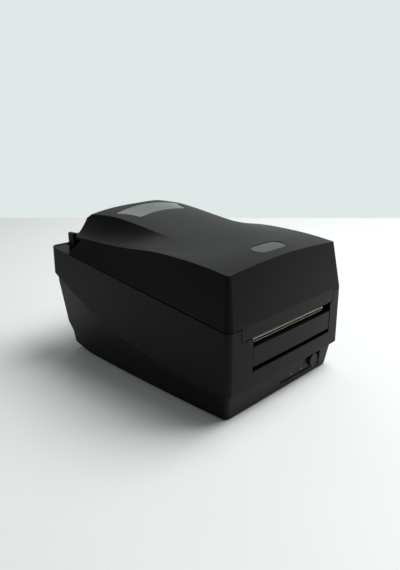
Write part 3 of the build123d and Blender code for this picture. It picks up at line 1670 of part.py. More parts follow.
with BuildPart() as rewind_gear:
    add(side_gear(near_plane, rewind_place, rewind_teeth, rewind_phase))
    add(axle((near_plane[1] - 1, -frame_inner), rewind_place, 2 * spindle_radius))
    bore = axle((near_plane[0] - 1, -frame_inner + 1), rewind_place, spindle_radius + seat_gap)
    add(bore, mode=Mode.SUBTRACT)

rewind_gear.part.label = "rewind_gear"
export_step(rewind_gear.part, "parts/rewind_gear.step")

with BuildPart() as supply_spindle:
    add(axle((-arm_x[1], arm_x[1]), supply_place, spindle_radius))
    add(axle((-spindle_core_half, spindle_core_half), supply_place, spindle_core_radius))
    flange_x = (spindle_core_half - 1, spindle_core_half + 0.5)
    add(axle(flange_x, supply_place, supply_flange_radius))

supply_spindle.part.label = "supply_spindle"
export_step(supply_spindle.part, "parts/supply_spindle.step")
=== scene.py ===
import bmesh
import bpy
from math import cos, pi, radians, sin
from mathutils import Matrix, Vector


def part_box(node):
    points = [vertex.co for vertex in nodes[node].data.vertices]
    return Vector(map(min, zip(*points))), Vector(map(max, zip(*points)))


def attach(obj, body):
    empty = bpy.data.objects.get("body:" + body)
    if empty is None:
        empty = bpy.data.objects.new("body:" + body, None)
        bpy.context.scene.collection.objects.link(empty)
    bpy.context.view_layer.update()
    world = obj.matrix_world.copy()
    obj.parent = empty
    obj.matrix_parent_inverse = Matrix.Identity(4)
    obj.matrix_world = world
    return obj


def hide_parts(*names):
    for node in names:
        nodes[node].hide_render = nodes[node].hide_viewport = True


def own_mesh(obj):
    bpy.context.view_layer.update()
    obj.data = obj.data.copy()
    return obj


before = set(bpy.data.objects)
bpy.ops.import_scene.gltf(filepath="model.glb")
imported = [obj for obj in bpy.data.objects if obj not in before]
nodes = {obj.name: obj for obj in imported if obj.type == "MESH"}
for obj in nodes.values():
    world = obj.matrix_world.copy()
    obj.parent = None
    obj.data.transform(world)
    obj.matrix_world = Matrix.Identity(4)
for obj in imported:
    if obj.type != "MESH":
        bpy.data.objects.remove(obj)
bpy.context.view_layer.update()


# Top cover, case and front plate: ABS moulded black in steel tools that were spark eroded to a fine
# satin grain. The cover hinges at the back, and the two halves of the case are screwed together.
mm = 0.001


def linear(colour):
    """An sRGB hex colour as Blender's linear values."""
    parts = [int(colour[i : i + 2], 16) / 255 for i in (1, 3, 5)]
    return (*[c / 12.92 if c <= 0.04045 else ((c + 0.055) / 1.055) ** 2.4 for c in parts], 1)


def add_node(tree, kind, inputs=None, **settings):
    """Adds a node with its settings; inputs gives a socket's value or the output linked to it."""
    node = tree.nodes.new(kind)
    for name, value in settings.items():
        setattr(node, name, value)
    for socket, value in (inputs or {}).items():
        if isinstance(value, bpy.types.NodeSocket):
            tree.links.new(value, node.inputs[socket])
        else:
            node.inputs[socket].default_value = value
    return node


def start_material(name):
    """A new material's node tree, with its surface shader."""
    material = bpy.data.materials.new(name)
    material.use_nodes = True
    tree = material.node_tree
    return material, tree, tree.nodes["Principled BSDF"]


def place_in(tree):
    """Position on the piece in metres, which moves with it."""
    return add_node(tree, "ShaderNodeTexCoord").outputs["Object"]


def moulded(name, dark, light, rough, grain, depth, ior=1.53, edge=0.5, sheen=0.5):
    """A moulded plastic, a little uneven in colour, its grain and its rounded edges in mm."""
    cloud_size = 60 * mm
    uneven_gloss = 0.04
    material, tree, shader = start_material(name)
    place = place_in(tree)
    cloud = add_node(
        tree, "ShaderNodeTexNoise", {"Vector": place, "Scale": 1 / cloud_size, "Detail": 3.0}
    )
    tone = add_node(
        tree,
        "ShaderNodeMix",
        {"Factor": cloud.outputs["Fac"], "A": linear(dark), "B": linear(light)},
        data_type="RGBA",
    )
    grains = add_node(
        tree, "ShaderNodeTexNoise", {"Vector": place, "Scale": 1 / (grain * mm), "Detail": 2.0}
    )
    polish = add_node(
        tree,
        "ShaderNodeMapRange",
        {
            "Value": cloud.outputs["Fac"],
            "To Min": rough - uneven_gloss,
            "To Max": rough + uneven_gloss,
        },
    )
    rounding = add_node(tree, "ShaderNodeBevel", {"Radius": edge * mm}, samples=4)
    bump = add_node(
        tree,
        "ShaderNodeBump",
        {
            "Height": grains.outputs["Fac"],
            "Strength": 0.35,
            "Distance": depth * mm,
            "Normal": rounding.outputs["Normal"],
        },
    )
    tree.links.new(tone.outputs["Result"], shader.inputs["Base Color"])
    tree.links.new(polish.outputs["Result"], shader.inputs["Roughness"])
    tree.links.new(bump.outputs["Normal"], shader.inputs["Normal"])
    shader.inputs["IOR"].default_value = ior
    shader.inputs["Specular IOR Level"].default_value = sheen
    return material


def dress(material, *names):
    """Gives CAD nodes a material."""
    for name in names:
        nodes[name].data.materials.clear()
        nodes[name].data.materials.append(material)


# The grain is 0.1 mm on the real one, and is drawn at 0.5 mm so that it shows.
black_abs = moulded("black_abs_satin", "#0b0b0a", "#0d0d0c", 0.4, 0.5, 0.02, edge=1.0, sheen=0.1)
dress(black_abs, "top_cover", "middle_case", "bottom_case", "front_plate")


# Window in the hump: smoked polycarbonate, injection moulded and polished, so that it reflects the
# room clearly. It is welded in from below and lies just under the surface of the cover.
haze_size = 15 * mm
ripple_depth = 0.05 * mm
smoked_pc, tree, shader = start_material("smoked_polycarbonate")
haze = add_node(
    tree, "ShaderNodeTexNoise", {"Vector": place_in(tree), "Scale": 1 / haze_size, "Detail": 2.0}
)
polish = add_node(
    tree,
    "ShaderNodeMapRange",
    {"Value": haze.outputs["Fac"], "To Min": 0.2, "To Max": 0.28},
)
ripple = add_node(
    tree,
    "ShaderNodeBump",
    {"Height": haze.outputs["Fac"], "Strength": 0.1, "Distance": ripple_depth},
)
tree.links.new(polish.outputs["Result"], shader.inputs["Roughness"])
tree.links.new(ripple.outputs["Normal"], shader.inputs["Normal"])
shader.inputs["Base Color"].default_value = linear("#4b5350")
shader.inputs["IOR"].default_value = 1.585
shader.inputs["Transmission Weight"].default_value = 0.25
dress(smoked_pc, "cover_window")


# A thin black line of painted shade lies in the gap round the window and the badge, where the gap
# is in shadow. It follows each edge between a side face and a top face, whose normals rise less
# than side_rise and more than top_rise.
shadow_line_width = 0.9 * mm
same_point = 0.02 * mm
side_rise, top_rise = 0.4, 0.7


def shadow_gap_line(name, node, half_width):
    """A round black line of painted shade along the upper rim of a flush plate, within half_width
    of its middle.
    """
    mesh = bmesh.new()
    mesh.from_mesh(nodes[node].data)
    bmesh.ops.remove_doubles(mesh, verts=mesh.verts, dist=same_point)
    rim = []
    for edge in mesh.edges:
        if len(edge.link_faces) != 2 or not edge.is_convex:
            continue
        side = min(abs(face.normal.z) for face in edge.link_faces)
        top = max(face.normal.z for face in edge.link_faces)
        reach = max(abs(vert.co.x) for vert in edge.verts)
        if side < side_rise and top > top_rise and reach < half_width:
            rim.append([vert.co.copy() for vert in edge.verts])
    mesh.free()
    curve = bpy.data.curves.new(name, "CURVE")
    curve.dimensions = "3D"
    curve.bevel_depth = shadow_line_width / 2
    curve.bevel_resolution = 2
    for start, end in rim:
        line = curve.splines.new("POLY")
        line.points.add(1)
        line.points[0].co = (*start, 1)
        line.points[1].co = (*end, 1)
    curve.materials.append(black_abs)
    piece = bpy.data.objects.new(name, curve)
    bpy.context.scene.collection.objects.link(piece)
    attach(piece, "cover")


# Just wider than the pane, and narrower than its flange, which is welded under the cover.
window_line_half = 51.4 * mm
# The window's gap gets a black line of painted shade.
shadow_gap_line("window_painted_shade_line", "cover_window", window_line_half)


# Badge plate: a bare pill of polished grey ABS, moulded with clips and snapped into its seat in the
# cover. A fine black line of painted shade lies round it, in its gap.
badge_abs = moulded("grey_abs_polished", "#3a3f3d", "#424745", 0.34, 0.8, 0.01, sheen=0.3)
dress(badge_abs, "badge_plate")
badge_line_half = 24 * mm
shadow_gap_line("badge_painted_shade_line", "badge_plate", badge_line_half)


# Control panel and feed button: ABS, moulded a little greyer than the case. The panel snaps in from
# inside, and the button slides in its collar on a spring.
panel_abs = moulded("dark_grey_abs_satin", "#131514", "#171918", 0.4, 0.4, 0.02, 1.53, 0.4, 0.14)
dress(panel_abs, "control_panel", "feed_button")


# Lamp lenses: two light pipes of clear acrylic, moulded and polished, with fine facets that spread
# the light. They stand on the panel's board, reach through the panel, and are off.
facet_size = 0.7 * mm
clear_acrylic, tree, shader = start_material("clear_acrylic_lens")
facets = add_node(
    tree, "ShaderNodeTexVoronoi", {"Vector": place_in(tree), "Scale": 1 / facet_size}
)
dimple = add_node(
    tree,
    "ShaderNodeBump",
    {"Height": facets.outputs["Distance"], "Strength": 0.4, "Distance": 0.1 * mm},
)
tree.links.new(dimple.outputs["Normal"], shader.inputs["Normal"])
shader.inputs["Base Color"].default_value = linear("#6f7a70")
shader.inputs["Roughness"].default_value = 0.12
shader.inputs["IOR"].default_value = 1.49
shader.inputs["Transmission Weight"].default_value = 0.4
dress(clear_acrylic, "lamp_lenses")


# Tear bar: stainless steel sheet, blanked, folded and brushed along its length. It is welded to the
# front bar of the print head, and labels are torn off against its saw-toothed lip.
def worked_metal(name, dark, light, rough, line, across=60.0, along=(1, 0, 0), edge=0.15):
    """A metal with fine marks line mm apart, drawn out across times along one direction."""
    uneven_gloss = 0.07
    material, tree, shader = start_material(name)
    stretch = [1 / across if a else 1.0 for a in along]
    place = add_node(
        tree, "ShaderNodeMapping", {"Vector": place_in(tree), "Scale": stretch}
    ).outputs["Vector"]
    marks = add_node(
        tree, "ShaderNodeTexNoise", {"Vector": place, "Scale": 1 / (line * mm), "Detail": 4.0}
    )
    tone = add_node(
        tree,
        "ShaderNodeMix",
        {"Factor": marks.outputs["Fac"], "A": linear(dark), "B": linear(light)},
        data_type="RGBA",
    )
    polish = add_node(
        tree,
        "ShaderNodeMapRange",
        {
            "Value": marks.outputs["Fac"],
            "To Min": rough - uneven_gloss,
            "To Max": rough + uneven_gloss,
        },
    )
    rounding = add_node(tree, "ShaderNodeBevel", {"Radius": edge * mm}, samples=4)
    scratch = add_node(
        tree,
        "ShaderNodeBump",
        {
            "Height": marks.outputs["Fac"],
            "Strength": 0.2,
            "Distance": 0.01 * mm,
            "Normal": rounding.outputs["Normal"],
        },
    )
    tree.links.new(tone.outputs["Result"], shader.inputs["Base Color"])
    tree.links.new(polish.outputs["Result"], shader.inputs["Roughness"])
    tree.links.new(scratch.outputs["Normal"], shader.inputs["Normal"])
    shader.inputs["Metallic"].default_value = 1.0
    return material


def make_piece(name, mesh, material, body):
    """Puts a finished bmesh into the scene as a piece that rides on a body."""
    data = bpy.data.meshes.new(name)
    mesh.to_mesh(data)
    mesh.free()
    piece = bpy.data.objects.new(name, data)
    bpy.context.scene.collection.objects.link(piece)
    data.materials.append(material)
    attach(piece, body)


brushed_stainless = worked_metal("stainless_brushed", "#cfc8b8", "#e6dfce", 0.3, 0.2)
dress(brushed_stainless, "tear_bar")


def bar(mesh, low, high, edge, turn=0.0):
    """Adds a box between two corners, its edges rounded by edge, then turned about X."""
    size = Vector(high) - Vector(low)
    middle = (Vector(high) + Vector(low)) / 2
    made = bmesh.ops.create_cube(mesh, size=1.0)["verts"]
    matrix = Matrix.Translation(middle) @ Matrix.Rotation(turn, 4, "X")
    bmesh.ops.transform(mesh, matrix=matrix @ Matrix.Diagonal((*size, 1)), verts=made)
    edges = list(dict.fromkeys(line for vert in made for line in vert.link_edges))
    bmesh.ops.bevel(mesh, geom=edges, offset=edge, segments=2, affect="EDGES", profile=0.5)


# Tooth strip: a thinner strip of stainless steel, punched with saw teeth and spot welded to the
# bar's lip, so that two bright edges show with a dark band of painted shade between them.
tooth_pitch = 1.2 * mm
tooth_drop = 0.5 * mm
tooth_root = 0.1 * mm
tooth_thickness = 0.35 * mm
strip_below, strip_above = 0.95 * mm, 0.6 * mm
strip_edge = 0.05 * mm
strip_end_gap = 1.0 * mm
tear_low, tear_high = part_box("tear_bar")
tooth_strip = bmesh.new()
tooth_count = int((tear_high.x - tear_low.x - 2 * strip_end_gap) / tooth_pitch)
first = (tear_low.x + tear_high.x - tooth_count * tooth_pitch) / 2
y, z = tear_low.y - tooth_thickness, tear_low.z - strip_below
strip_end = (first + tooth_count * tooth_pitch, y + tooth_thickness, tear_low.z + strip_above)
bar(tooth_strip, (first, y, z), strip_end, strip_edge)
for i in range(tooth_count):
    x = first + i * tooth_pitch
    root = z + tooth_root
    tip = (x + tooth_pitch / 2, y, z - tooth_drop)
    corners = [(x, y, root), (x + tooth_pitch, y, root), tip]
    front = [tooth_strip.verts.new(c) for c in corners]
    back = [tooth_strip.verts.new((c[0], c[1] + tooth_thickness, c[2])) for c in corners]
    tooth_strip.faces.new(front)
    tooth_strip.faces.new(back[::-1])
    for a in range(3):
        b = (a + 1) % 3
        tooth_strip.faces.new((front[b], front[a], back[a], back[b]))
bmesh.ops.recalc_face_normals(tooth_strip, faces=tooth_strip.faces)
make_piece("tear_teeth", tooth_strip, brushed_stainless, "head")


# Dark band of the tear bar: a black strip of painted shade along the middle of the bar, for the
# shadow that lies between the two bright edges.
shade_band_below, shade_band_above = 0.75 * mm, 0.95 * mm
shade_band_bite = 0.1 * mm
shade_band_edge = 0.12 * mm
# Matt black painted shade, used for the tear bar's band and for the walls of the panel's tray.
black_painted_shade = moulded("painted_shade_black", "#0a0a0a", "#0e0e0e", 0.9, 0.4, 0.1, sheen=0.1)
shade_band = bmesh.new()
shade_band_low = (first, tear_low.y - 2 * tooth_thickness, tear_low.z - shade_band_below)
shade_band_high = (strip_end[0], tear_low.y + shade_band_bite, tear_low.z + shade_band_above)
bar(shade_band, shade_band_low, shade_band_high, shade_band_edge)
make_piece("tear_painted_shade", shade_band, black_painted_shade, "head")


# Panel shade strips: thin black strips of painted shade on the lower and right walls of the
# panel's tray, which lie in shadow.
shade_strip_thickness = 0.35 * mm
shade_strip_setback = 0.2 * mm
panel_wall = 1.2 * mm
panel_low, panel_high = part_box("control_panel")
panel_floor = panel_high.y - panel_wall
panel_points = [vert.co for vert in nodes["control_panel"].data.vertices]

# The tray's lowest and highest corners are looked for within these bands of its height.
foot_band, head_band = 0.8 * mm, 0.1 * mm
foot_points = [point for point in panel_points if point.z < panel_low.z + foot_band]
head_points = [point for point in panel_points if point.z > panel_high.z - head_band]
foot_left = min(foot_points, key=lambda point: point.x)
foot_right = max(foot_points, key=lambda point: point.x)
head_right = max(head_points, key=lambda point: point.x)

# The tray reaches furthest forward in the lowest 2 mm, and the shade strips stop just behind that.
lip_band = 2 * mm
lip_front = min(point.y for point in panel_points if point.z < panel_low.z + lip_band)
shade_strip_front = lip_front + shade_strip_setback


def wall_shade_strip(name, start, end, inward):
    """A strip of painted shade along a tray wall from start to end, (x, z) each, from the floor to
    shade_strip_front.
    """
    start, end = Vector((start[0], 0, start[1])), Vector((end[0], 0, end[1]))
    deep = Vector(inward).normalized() * shade_strip_thickness
    mesh = bmesh.new()
    rings = []
    for spot in (start, end):
        ring = []
        for y, lift in ((shade_strip_front, 0), (shade_strip_front, 1), (panel_floor, 1), (panel_floor, 0)):
            ring.append(mesh.verts.new(spot + deep * lift + Vector((0, y, 0))))
        rings.append(ring)
    mesh.faces.new(rings[0])
    mesh.faces.new(rings[1][::-1])
    for k in range(4):
        after = (k + 1) % 4
        mesh.faces.new((rings[0][after], rings[0][k], rings[1][k], rings[1][after]))
    bmesh.ops.recalc_face_normals(mesh, faces=mesh.faces)
    make_piece(name, mesh, black_painted_shade, "case")


corner_gap = 1.6 * mm
strip_lift_gap = 0.02 * mm
lower_start = (foot_left.x + corner_gap, foot_left.z + panel_wall + strip_lift_gap)
lower_end = (foot_right.x - corner_gap, foot_right.z + panel_wall + strip_lift_gap)
wall_shade_strip("panel_painted_shade_lower", lower_start, lower_end, (0, 0, 1))

side_gap = 0.05 * mm
right_foot_gap, right_head_gap = 0.4 * mm, 0.1 * mm
right_start = (foot_right.x - panel_wall - side_gap, foot_right.z + panel_wall + right_foot_gap)
right_end = (head_right.x - panel_wall - side_gap, head_right.z - panel_wall - right_head_gap)
wall_shade_strip("panel_painted_shade_right", right_start, right_end, (-1, 0, 0))


# Rubber feet and platen: black nitrile rubber. The feet are pressed into the bottom, and the platen
# is cast round its shaft and ground true, which leaves it matt.
nitrile_rubber = moulded("nitrile_rubber_ground", "#151515", "#1c1c1b", 0.75, 0.6, 0.03, 1.52, 0.3)
dress(nitrile_rubber, "rubber_feet", "platen_roller")


# Frames, head carriage, pins and screws: steel sheet and turned steel, zinc plated and passivated,
# which leaves a pale bluish metal with faint rolling marks.
zinc_steel = worked_metal("steel_zinc_plated", "#a4a8a8", "#bcc0be", 0.38, 0.6, 25.0, (0, 1, 0))
dress(zinc_steel, "left_side_frame", "right_side_frame", "head_carriage", "gear_studs")
dress(zinc_steel, "hinge_pins", "machine_screws", "case_screws")


# Shafts, ribbon rods and motor pinion: steel, centreless ground so that it is bright all round. The
# carriage's shaft sits in the frames, the platen's in its bushings, and the rods in the carriage.
ground_steel = worked_metal("steel_ground", "#c4c6c6", "#dadbd9", 0.2, 0.15, 30.0)
dress(ground_steel, "carriage_shaft", "platen_shaft", "ribbon_rods", "motor_pinion")


# Gears, pinions and bushings: white acetal, injection moulded, slightly waxy to the eye because
# light enters it a little.
white_acetal = moulded("acetal_moulded", "#d8d5c8", "#e2dfd3", 0.38, 0.8, 0.01, 1.48, 0.2)
acetal_shader = white_acetal.node_tree.nodes["Principled BSDF"]
acetal_shader.inputs["Subsurface Weight"].default_value = 0.15
acetal_shader.inputs["Subsurface Scale"].default_value = 1.5 * mm
dress(white_acetal, "idler_gear", "platen_gear", "lift_gear", "rewind_gear")
dress(white_acetal, "guide_pinion", "holder_pinion", "platen_bushings")


# Media bed, tray, guides, holders, spindles and inner covers: ABS, moulded dark grey with a coarser
# grain than the case. The tray and the covers are screwed in, and the rest slides or turns.
grey_abs = moulded("dark_grey_abs_inner", "#2c2f30", "#34383a", 0.5, 0.7, 0.04)
dress(grey_abs, "media_bed", "media_tray", "left_inner_cover", "right_inner_cover")
lighter_abs = moulded("grey_abs_moving", "#4a5053", "#545a5d", 0.45, 0.7, 0.03)
dress(lighter_abs, "left_guide", "right_guide", "left_holder", "right_holder")
dress(lighter_abs, "left_hub", "right_hub", "supply_spindle", "rewind_spindle")


# Wings on the ribbon spindles: ABS, moulded with the core, four thin ribs that grip the cardboard
# core of a ribbon roll. They are rounded at their edges and sunk a little into the core.
wing_half_length = 52 * mm
wing_height = 0.5 * mm
wing_thickness = 1.6 * mm
wing_sink = 0.15 * mm
wing_edge = wing_height / 4
spindle_radius = 6.25 * mm


def centre_of(node):
    """Middle of a node's box."""
    low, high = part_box(node)
    return (low + high) / 2


for spindle, body in (("supply_spindle", "supply"), ("rewind_spindle", "rewind")):
    centre = centre_of(spindle)
    reach = spindle_radius + wing_height / 2 - wing_sink
    half = Vector((wing_half_length, wing_thickness / 2, wing_height / 2))
    wings = bmesh.new()
    for i in range(4):
        turn = i * pi / 2 + pi / 4
        middle = Vector((0, centre.y - reach * sin(turn), centre.z + reach * cos(turn)))
        bar(wings, middle - half, middle + half, wing_edge, turn)
    make_piece(f"{body}_wings", wings, lighter_abs, body)


# Head springs and button spring: music wire, coiled cold and left bright. They push the print head
# down on the platen and the feed button out.
music_wire = worked_metal("music_wire_bright", "#8f9193", "#aaacad", 0.28, 0.3, 8.0)


def coil(name, start, end, radius, wire, turns, body):
    """A compression spring between two points, its end turns closed."""
    points_per_turn = 12
    closed_pitch = 0.9 * wire
    start, end = Vector(start), Vector(end)
    axis = end - start
    length = axis.length - wire
    along = axis.to_track_quat("Z", "Y").to_matrix().to_4x4()
    count = turns * points_per_turn
    curve = bpy.data.curves.new(name, "CURVE")
    curve.dimensions = "3D"
    curve.bevel_depth = wire / 2
    curve.bevel_resolution = 2
    curve.use_fill_caps = True
    line = curve.splines.new("NURBS")
    line.points.add(count)
    for i in range(count + 1):
        part = i / count
        rise = min(1, max(0, (part * turns - 1) / (turns - 2)))
        climb = closed_pitch * (min(part * turns, 1) + max(0, part * turns - turns + 1))
        height = climb + rise * (length - 2 * closed_pitch) + wire / 2
        angle = 2 * pi * part * turns
        line.points[i].co = (radius * cos(angle), radius * sin(angle), height, 1)
    line.order_u = 3
    line.use_endpoint_u = True
    curve.materials.append(music_wire)
    shape = bpy.data.objects.new(name + "_line", curve)
    spring = bpy.data.objects.new(name, bpy.data.meshes.new_from_object(shape))
    bpy.data.objects.remove(shape)
    spring.data.transform(Matrix.Translation(start) @ along)
    bpy.context.scene.collection.objects.link(spring)
    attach(spring, body)
    return spring


head_spring_half_span = 30 * mm
head_spring_radius = 3.1 * mm
head_wire = 0.8 * mm
coil_turns = 6
low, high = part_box("head_springs")
y = (low.y + high.y) / 2
for name, side in (("head_coil_left", -1), ("head_coil_right", 1)):
    x = side * head_spring_half_span
    start, end = (x, y, low.z), (x, y, high.z)
    coil(name, start, end, head_spring_radius, head_wire, coil_turns, "head")
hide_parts("head_springs")

button_spring_radius = 2.8 * mm
button_wire = 0.4 * mm
low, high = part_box("button_spring")
centre = centre_of("button_spring")
start, end = (centre.x, high.y, centre.z), (centre.x, low.y, centre.z)
button_coil = coil(
    "button_coil", start, end, button_spring_radius, button_wire, coil_turns, "case"
)
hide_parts("button_spring")
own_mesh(button_coil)


# Heat sink and thermal head: the sink is extruded aluminium, sawn to length, and the head is a
# glazed ceramic strip bonded under it.
extruded_aluminium = worked_metal("aluminium_extruded", "#b9bcbe", "#cdd0d1", 0.35, 0.5, 40.0)
dress(extruded_aluminium, "heat_sink")
glazed_ceramic = moulded("alumina_glazed", "#c9c4b4", "#d5d1c3", 0.18, 1.5, 0.01, 1.6, 0.2)
dress(glazed_ceramic, "thermal_head")


# Stepper motor: two pressed steel cups, painted black, round a stack of bare steel sheets. The
# stack takes the middle of its length, and its sheets are drawn 1.9 mm apart so that they show.
stack_start, stack_end = 0.3, 0.7
sheet_pitch = 0.6 * pi * mm
motor_paint, tree, shader = start_material("motor_lacquer_on_steel")
low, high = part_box("stepper_motor")
place = place_in(tree)
across = add_node(tree, "ShaderNodeSeparateXYZ", {"Vector": place}).outputs["X"]
from_end = add_node(
    tree,
    "ShaderNodeMapRange",
    {"Value": across, "From Min": low.x, "From Max": high.x},
)
bands = add_node(tree, "ShaderNodeValToRGB", {"Fac": from_end.outputs["Result"]})
bands.color_ramp.interpolation = "CONSTANT"
bands.color_ramp.elements[0].color = linear("#1c1c1e")
bands.color_ramp.elements[1].position = stack_start
bands.color_ramp.elements[1].color = linear("#7d7d7c")
bands.color_ramp.elements.new(stack_end).color = linear("#1c1c1e")
sheets = add_node(
    tree,
    "ShaderNodeTexWave",
    {"Vector": place, "Scale": pi / (10 * sheet_pitch), "Distortion": 0.0},
    bands_direction="X",
)
lines = add_node(
    tree,
    "ShaderNodeBump",
    {"Height": sheets.outputs["Fac"], "Strength": 0.3, "Distance": 0.05 * mm},
)
tree.links.new(bands.outputs["Color"], shader.inputs["Base Color"])
tree.links.new(lines.outputs["Normal"], shader.inputs["Normal"])
shader.inputs["Roughness"].default_value = 0.4
shader.inputs["Metallic"].default_value = 0.5
dress(motor_paint, "stepper_motor")


# Boards: glass fibre laminate with a green solder mask over etched copper tracks. The tracks are
# 2 mm apart here so that they show.
solder_mask, tree, shader = start_material("fibreglass_board_green")
place = place_in(tree)
cells = add_node(
    tree,
    "ShaderNodeTexBrick",
    {"Vector": place, "Scale": 1 / (8 * mm), "Mortar Size": 0.05, "Color1": linear("#0f4a2c")},
)
cells.inputs["Color2"].default_value = linear("#0c4026")
cells.inputs["Mortar"].default_value = linear("#1f6b40")
relief = add_node(
    tree,
    "ShaderNodeBump",
    {"Height": cells.outputs["Fac"], "Strength": 0.3, "Distance": 0.04 * mm},
)
tree.links.new(cells.outputs["Color"], shader.inputs["Base Color"])
tree.links.new(relief.outputs["Normal"], shader.inputs["Normal"])
shader.inputs["Roughness"].default_value = 0.3
dress(solder_mask, "main_board", "interface_board", "panel_board")
epoxy_package = moulded("epoxy_package", "#161617", "#1b1b1c", 0.5, 0.3, 0.02)
dress(epoxy_package, "board_chips", "media_sensor")
capacitor_sleeve = moulded("pvc_sleeve", "#17203c", "#1c2746", 0.3, 1.0, 0.01)
dress(capacitor_sleeve, "board_capacitors")


# Panel cable: flat ribbon cable of grey PVC, extruded over its strands, which lie 1.27 mm apart. It
# is folded down from the panel's board and runs over the floor to the main board.
strand_pitch = 1.27 * mm
ribbon_pvc, tree, shader = start_material("pvc_ribbon_cable")
strands = add_node(
    tree,
    "ShaderNodeTexWave",
    {"Vector": place_in(tree), "Scale": pi / (10 * strand_pitch), "Distortion": 0.0},
    bands_direction="X",
)
shade = add_node(
    tree,
    "ShaderNodeMix",
    {"Factor": strands.outputs["Fac"], "A": linear("#7b7f83"), "B": linear("#9a9ea2")},
    data_type="RGBA",
)
ridges = add_node(
    tree,
    "ShaderNodeBump",
    {"Height": strands.outputs["Fac"], "Strength": 0.5, "Distance": 0.3 * mm},
)
tree.links.new(shade.outputs["Result"], shader.inputs["Base Color"])
tree.links.new(ridges.outputs["Normal"], shader.inputs["Normal"])
shader.inputs["Roughness"].default_value = 0.5
dress(ribbon_pvc, "panel_cable")


# Sockets and switch at the back: nickel plated shells pressed from steel for the data ports, and
# moulded black nylon for the power inlet and the switch. The sockets stand on the interface board.
nickel_shell = worked_metal("steel_nickel_plated", "#aeb0b0", "#c6c7c5", 0.28, 0.4, 10.0)
dress(nickel_shell, "usb_socket", "serial_socket", "parallel_socket")
black_nylon = moulded("nylon_black", "#161616", "#1b1b1b", 0.45, 0.5, 0.02, 1.53, 0.3)
dress(black_nylon, "power_inlet", "power_switch_body", "power_rocker")


# Socket contacts: phosphor bronze, stamped and gold plated. The USB tongue carries four strips, the
# serial socket nine sleeves in two rows, and the parallel socket eighteen strips above and below.
gold_contact = worked_metal(
    "bronze_gold_plated", "#c9a44e", "#dcb964", 0.25, 0.2, 8.0, (0, 1, 0), 0.05
)
contact_proud = 0.12 * mm
contact_half_share = 0.28
tongue_half_height = 1.6 * mm


def strips(mesh, socket, count, pitch, length, tip):
    """Adds flat contacts above and below a socket's tongue, their ends tip inside its mouth."""
    middle = centre_of(socket)
    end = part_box(socket)[1].y - tip
    half_width = pitch * contact_half_share
    for face in (-1, 1):
        for i in range(count):
            x = middle.x + (i - (count - 1) / 2) * pitch
            z = middle.z + face * tongue_half_height
            low = (x - half_width, end - length, z - contact_proud)
            high = (x + half_width, end, z + contact_proud)
            bar(mesh, low, high, contact_proud / 3)


usb_contacts = bmesh.new()
usb_pitch, usb_length, usb_tip = 2.0 * mm, 6.0 * mm, 1.3 * mm
strips(usb_contacts, "usb_socket", 2, usb_pitch, usb_length, usb_tip)
make_piece("usb_contacts", usb_contacts, gold_contact, "case")

parallel_contacts = bmesh.new()
parallel_pitch, parallel_length, parallel_tip = 2.08 * mm, 4.5 * mm, 0.8 * mm
strips(parallel_contacts, "parallel_socket", 18, parallel_pitch, parallel_length, parallel_tip)
make_piece("parallel_contacts", parallel_contacts, gold_contact, "case")


def turned_ring(mesh, middle, axes, profile, facets):
    """Adds a ring turned about the third of three axes from a profile of (radius, rise) points."""
    across, up, out = (Vector(axis) for axis in axes)
    spokes = [2 * pi * k / facets for k in range(facets)]
    rays = [across * cos(angle) + up * sin(angle) for angle in spokes]
    loops = []
    for radius, rise in profile:
        hub = Vector(middle) + out * rise
        loops.append([mesh.verts.new(hub + ray * radius) for ray in rays])
    for k, one in enumerate(loops):
        other = loops[(k + 1) % len(loops)]
        for j in range(facets):
            after = (j + 1) % facets
            mesh.faces.new((one[j], one[after], other[after], other[j]))


serial_contacts = bmesh.new()
sleeve_bore, sleeve_radius, sleeve_sink = 0.4 * mm, 0.75 * mm, 0.1 * mm
sleeve_pitch, sleeve_row = 2.77 * mm, 1.42 * mm
serial_face_depth = 2.5 * mm
sleeve_profile = [
    (sleeve_radius, -sleeve_sink),
    (sleeve_radius, contact_proud),
    (sleeve_bore, contact_proud),
    (sleeve_bore, -sleeve_sink),
]
serial_middle = centre_of("serial_socket")
serial_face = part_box("serial_socket")[1].y - serial_face_depth
for row, count in ((-1, 4), (1, 5)):
    for i in range(count):
        x = serial_middle.x + (i - (count - 1) / 2) * sleeve_pitch
        z = serial_middle.z + row * sleeve_row
        axes = ((1, 0, 0), (0, 0, 1), (0, 1, 0))
        turned_ring(serial_contacts, (x, serial_face, z), axes, sleeve_profile, 16)
bmesh.ops.recalc_face_normals(serial_contacts, faces=serial_contacts.faces)
make_piece("serial_contacts", serial_contacts, gold_contact, "case")


# Rocker marks: a bar and a ring for on and off, pad printed in white ink on the upper and the lower
# face of the rocker. The two faces look backwards and are larger than any facet of its pins.
rocker_mesh = nodes["power_rocker"].data
pin_facet = 5 * mm * mm
faces_back = 0.7
rocker_faces = [f for f in rocker_mesh.polygons if f.normal.y > faces_back and f.area > pin_facet]
rocker_middle = centre_of("power_rocker").z
white_ink = moulded("ink_white", "#c9ccca", "#d6d8d6", 0.6, 0.4, 0.01, edge=0.02)
mark_thickness = 0.06 * mm
mark_length = 2.4 * mm
mark_width = 0.5 * mm


def rocker_mark(name, upper, outline):
    """A printed mark in the middle of the rocker's upper or lower face; outline fills a bmesh."""
    faces = [face for face in rocker_faces if (face.center.z > rocker_middle) == upper]
    area = sum(face.area for face in faces)
    middle = sum((face.center * face.area for face in faces), Vector()) / area
    normal = sum((face.normal * face.area for face in faces), Vector()).normalized()
    across = Vector((-1, 0, 0))
    turn = Matrix((across, normal.cross(across), normal)).transposed().to_4x4()
    mark = bmesh.new()
    outline(mark)
    bmesh.ops.transform(mark, matrix=Matrix.Translation(middle) @ turn, verts=mark.verts)
    make_piece(name, mark, white_ink, "rocker")


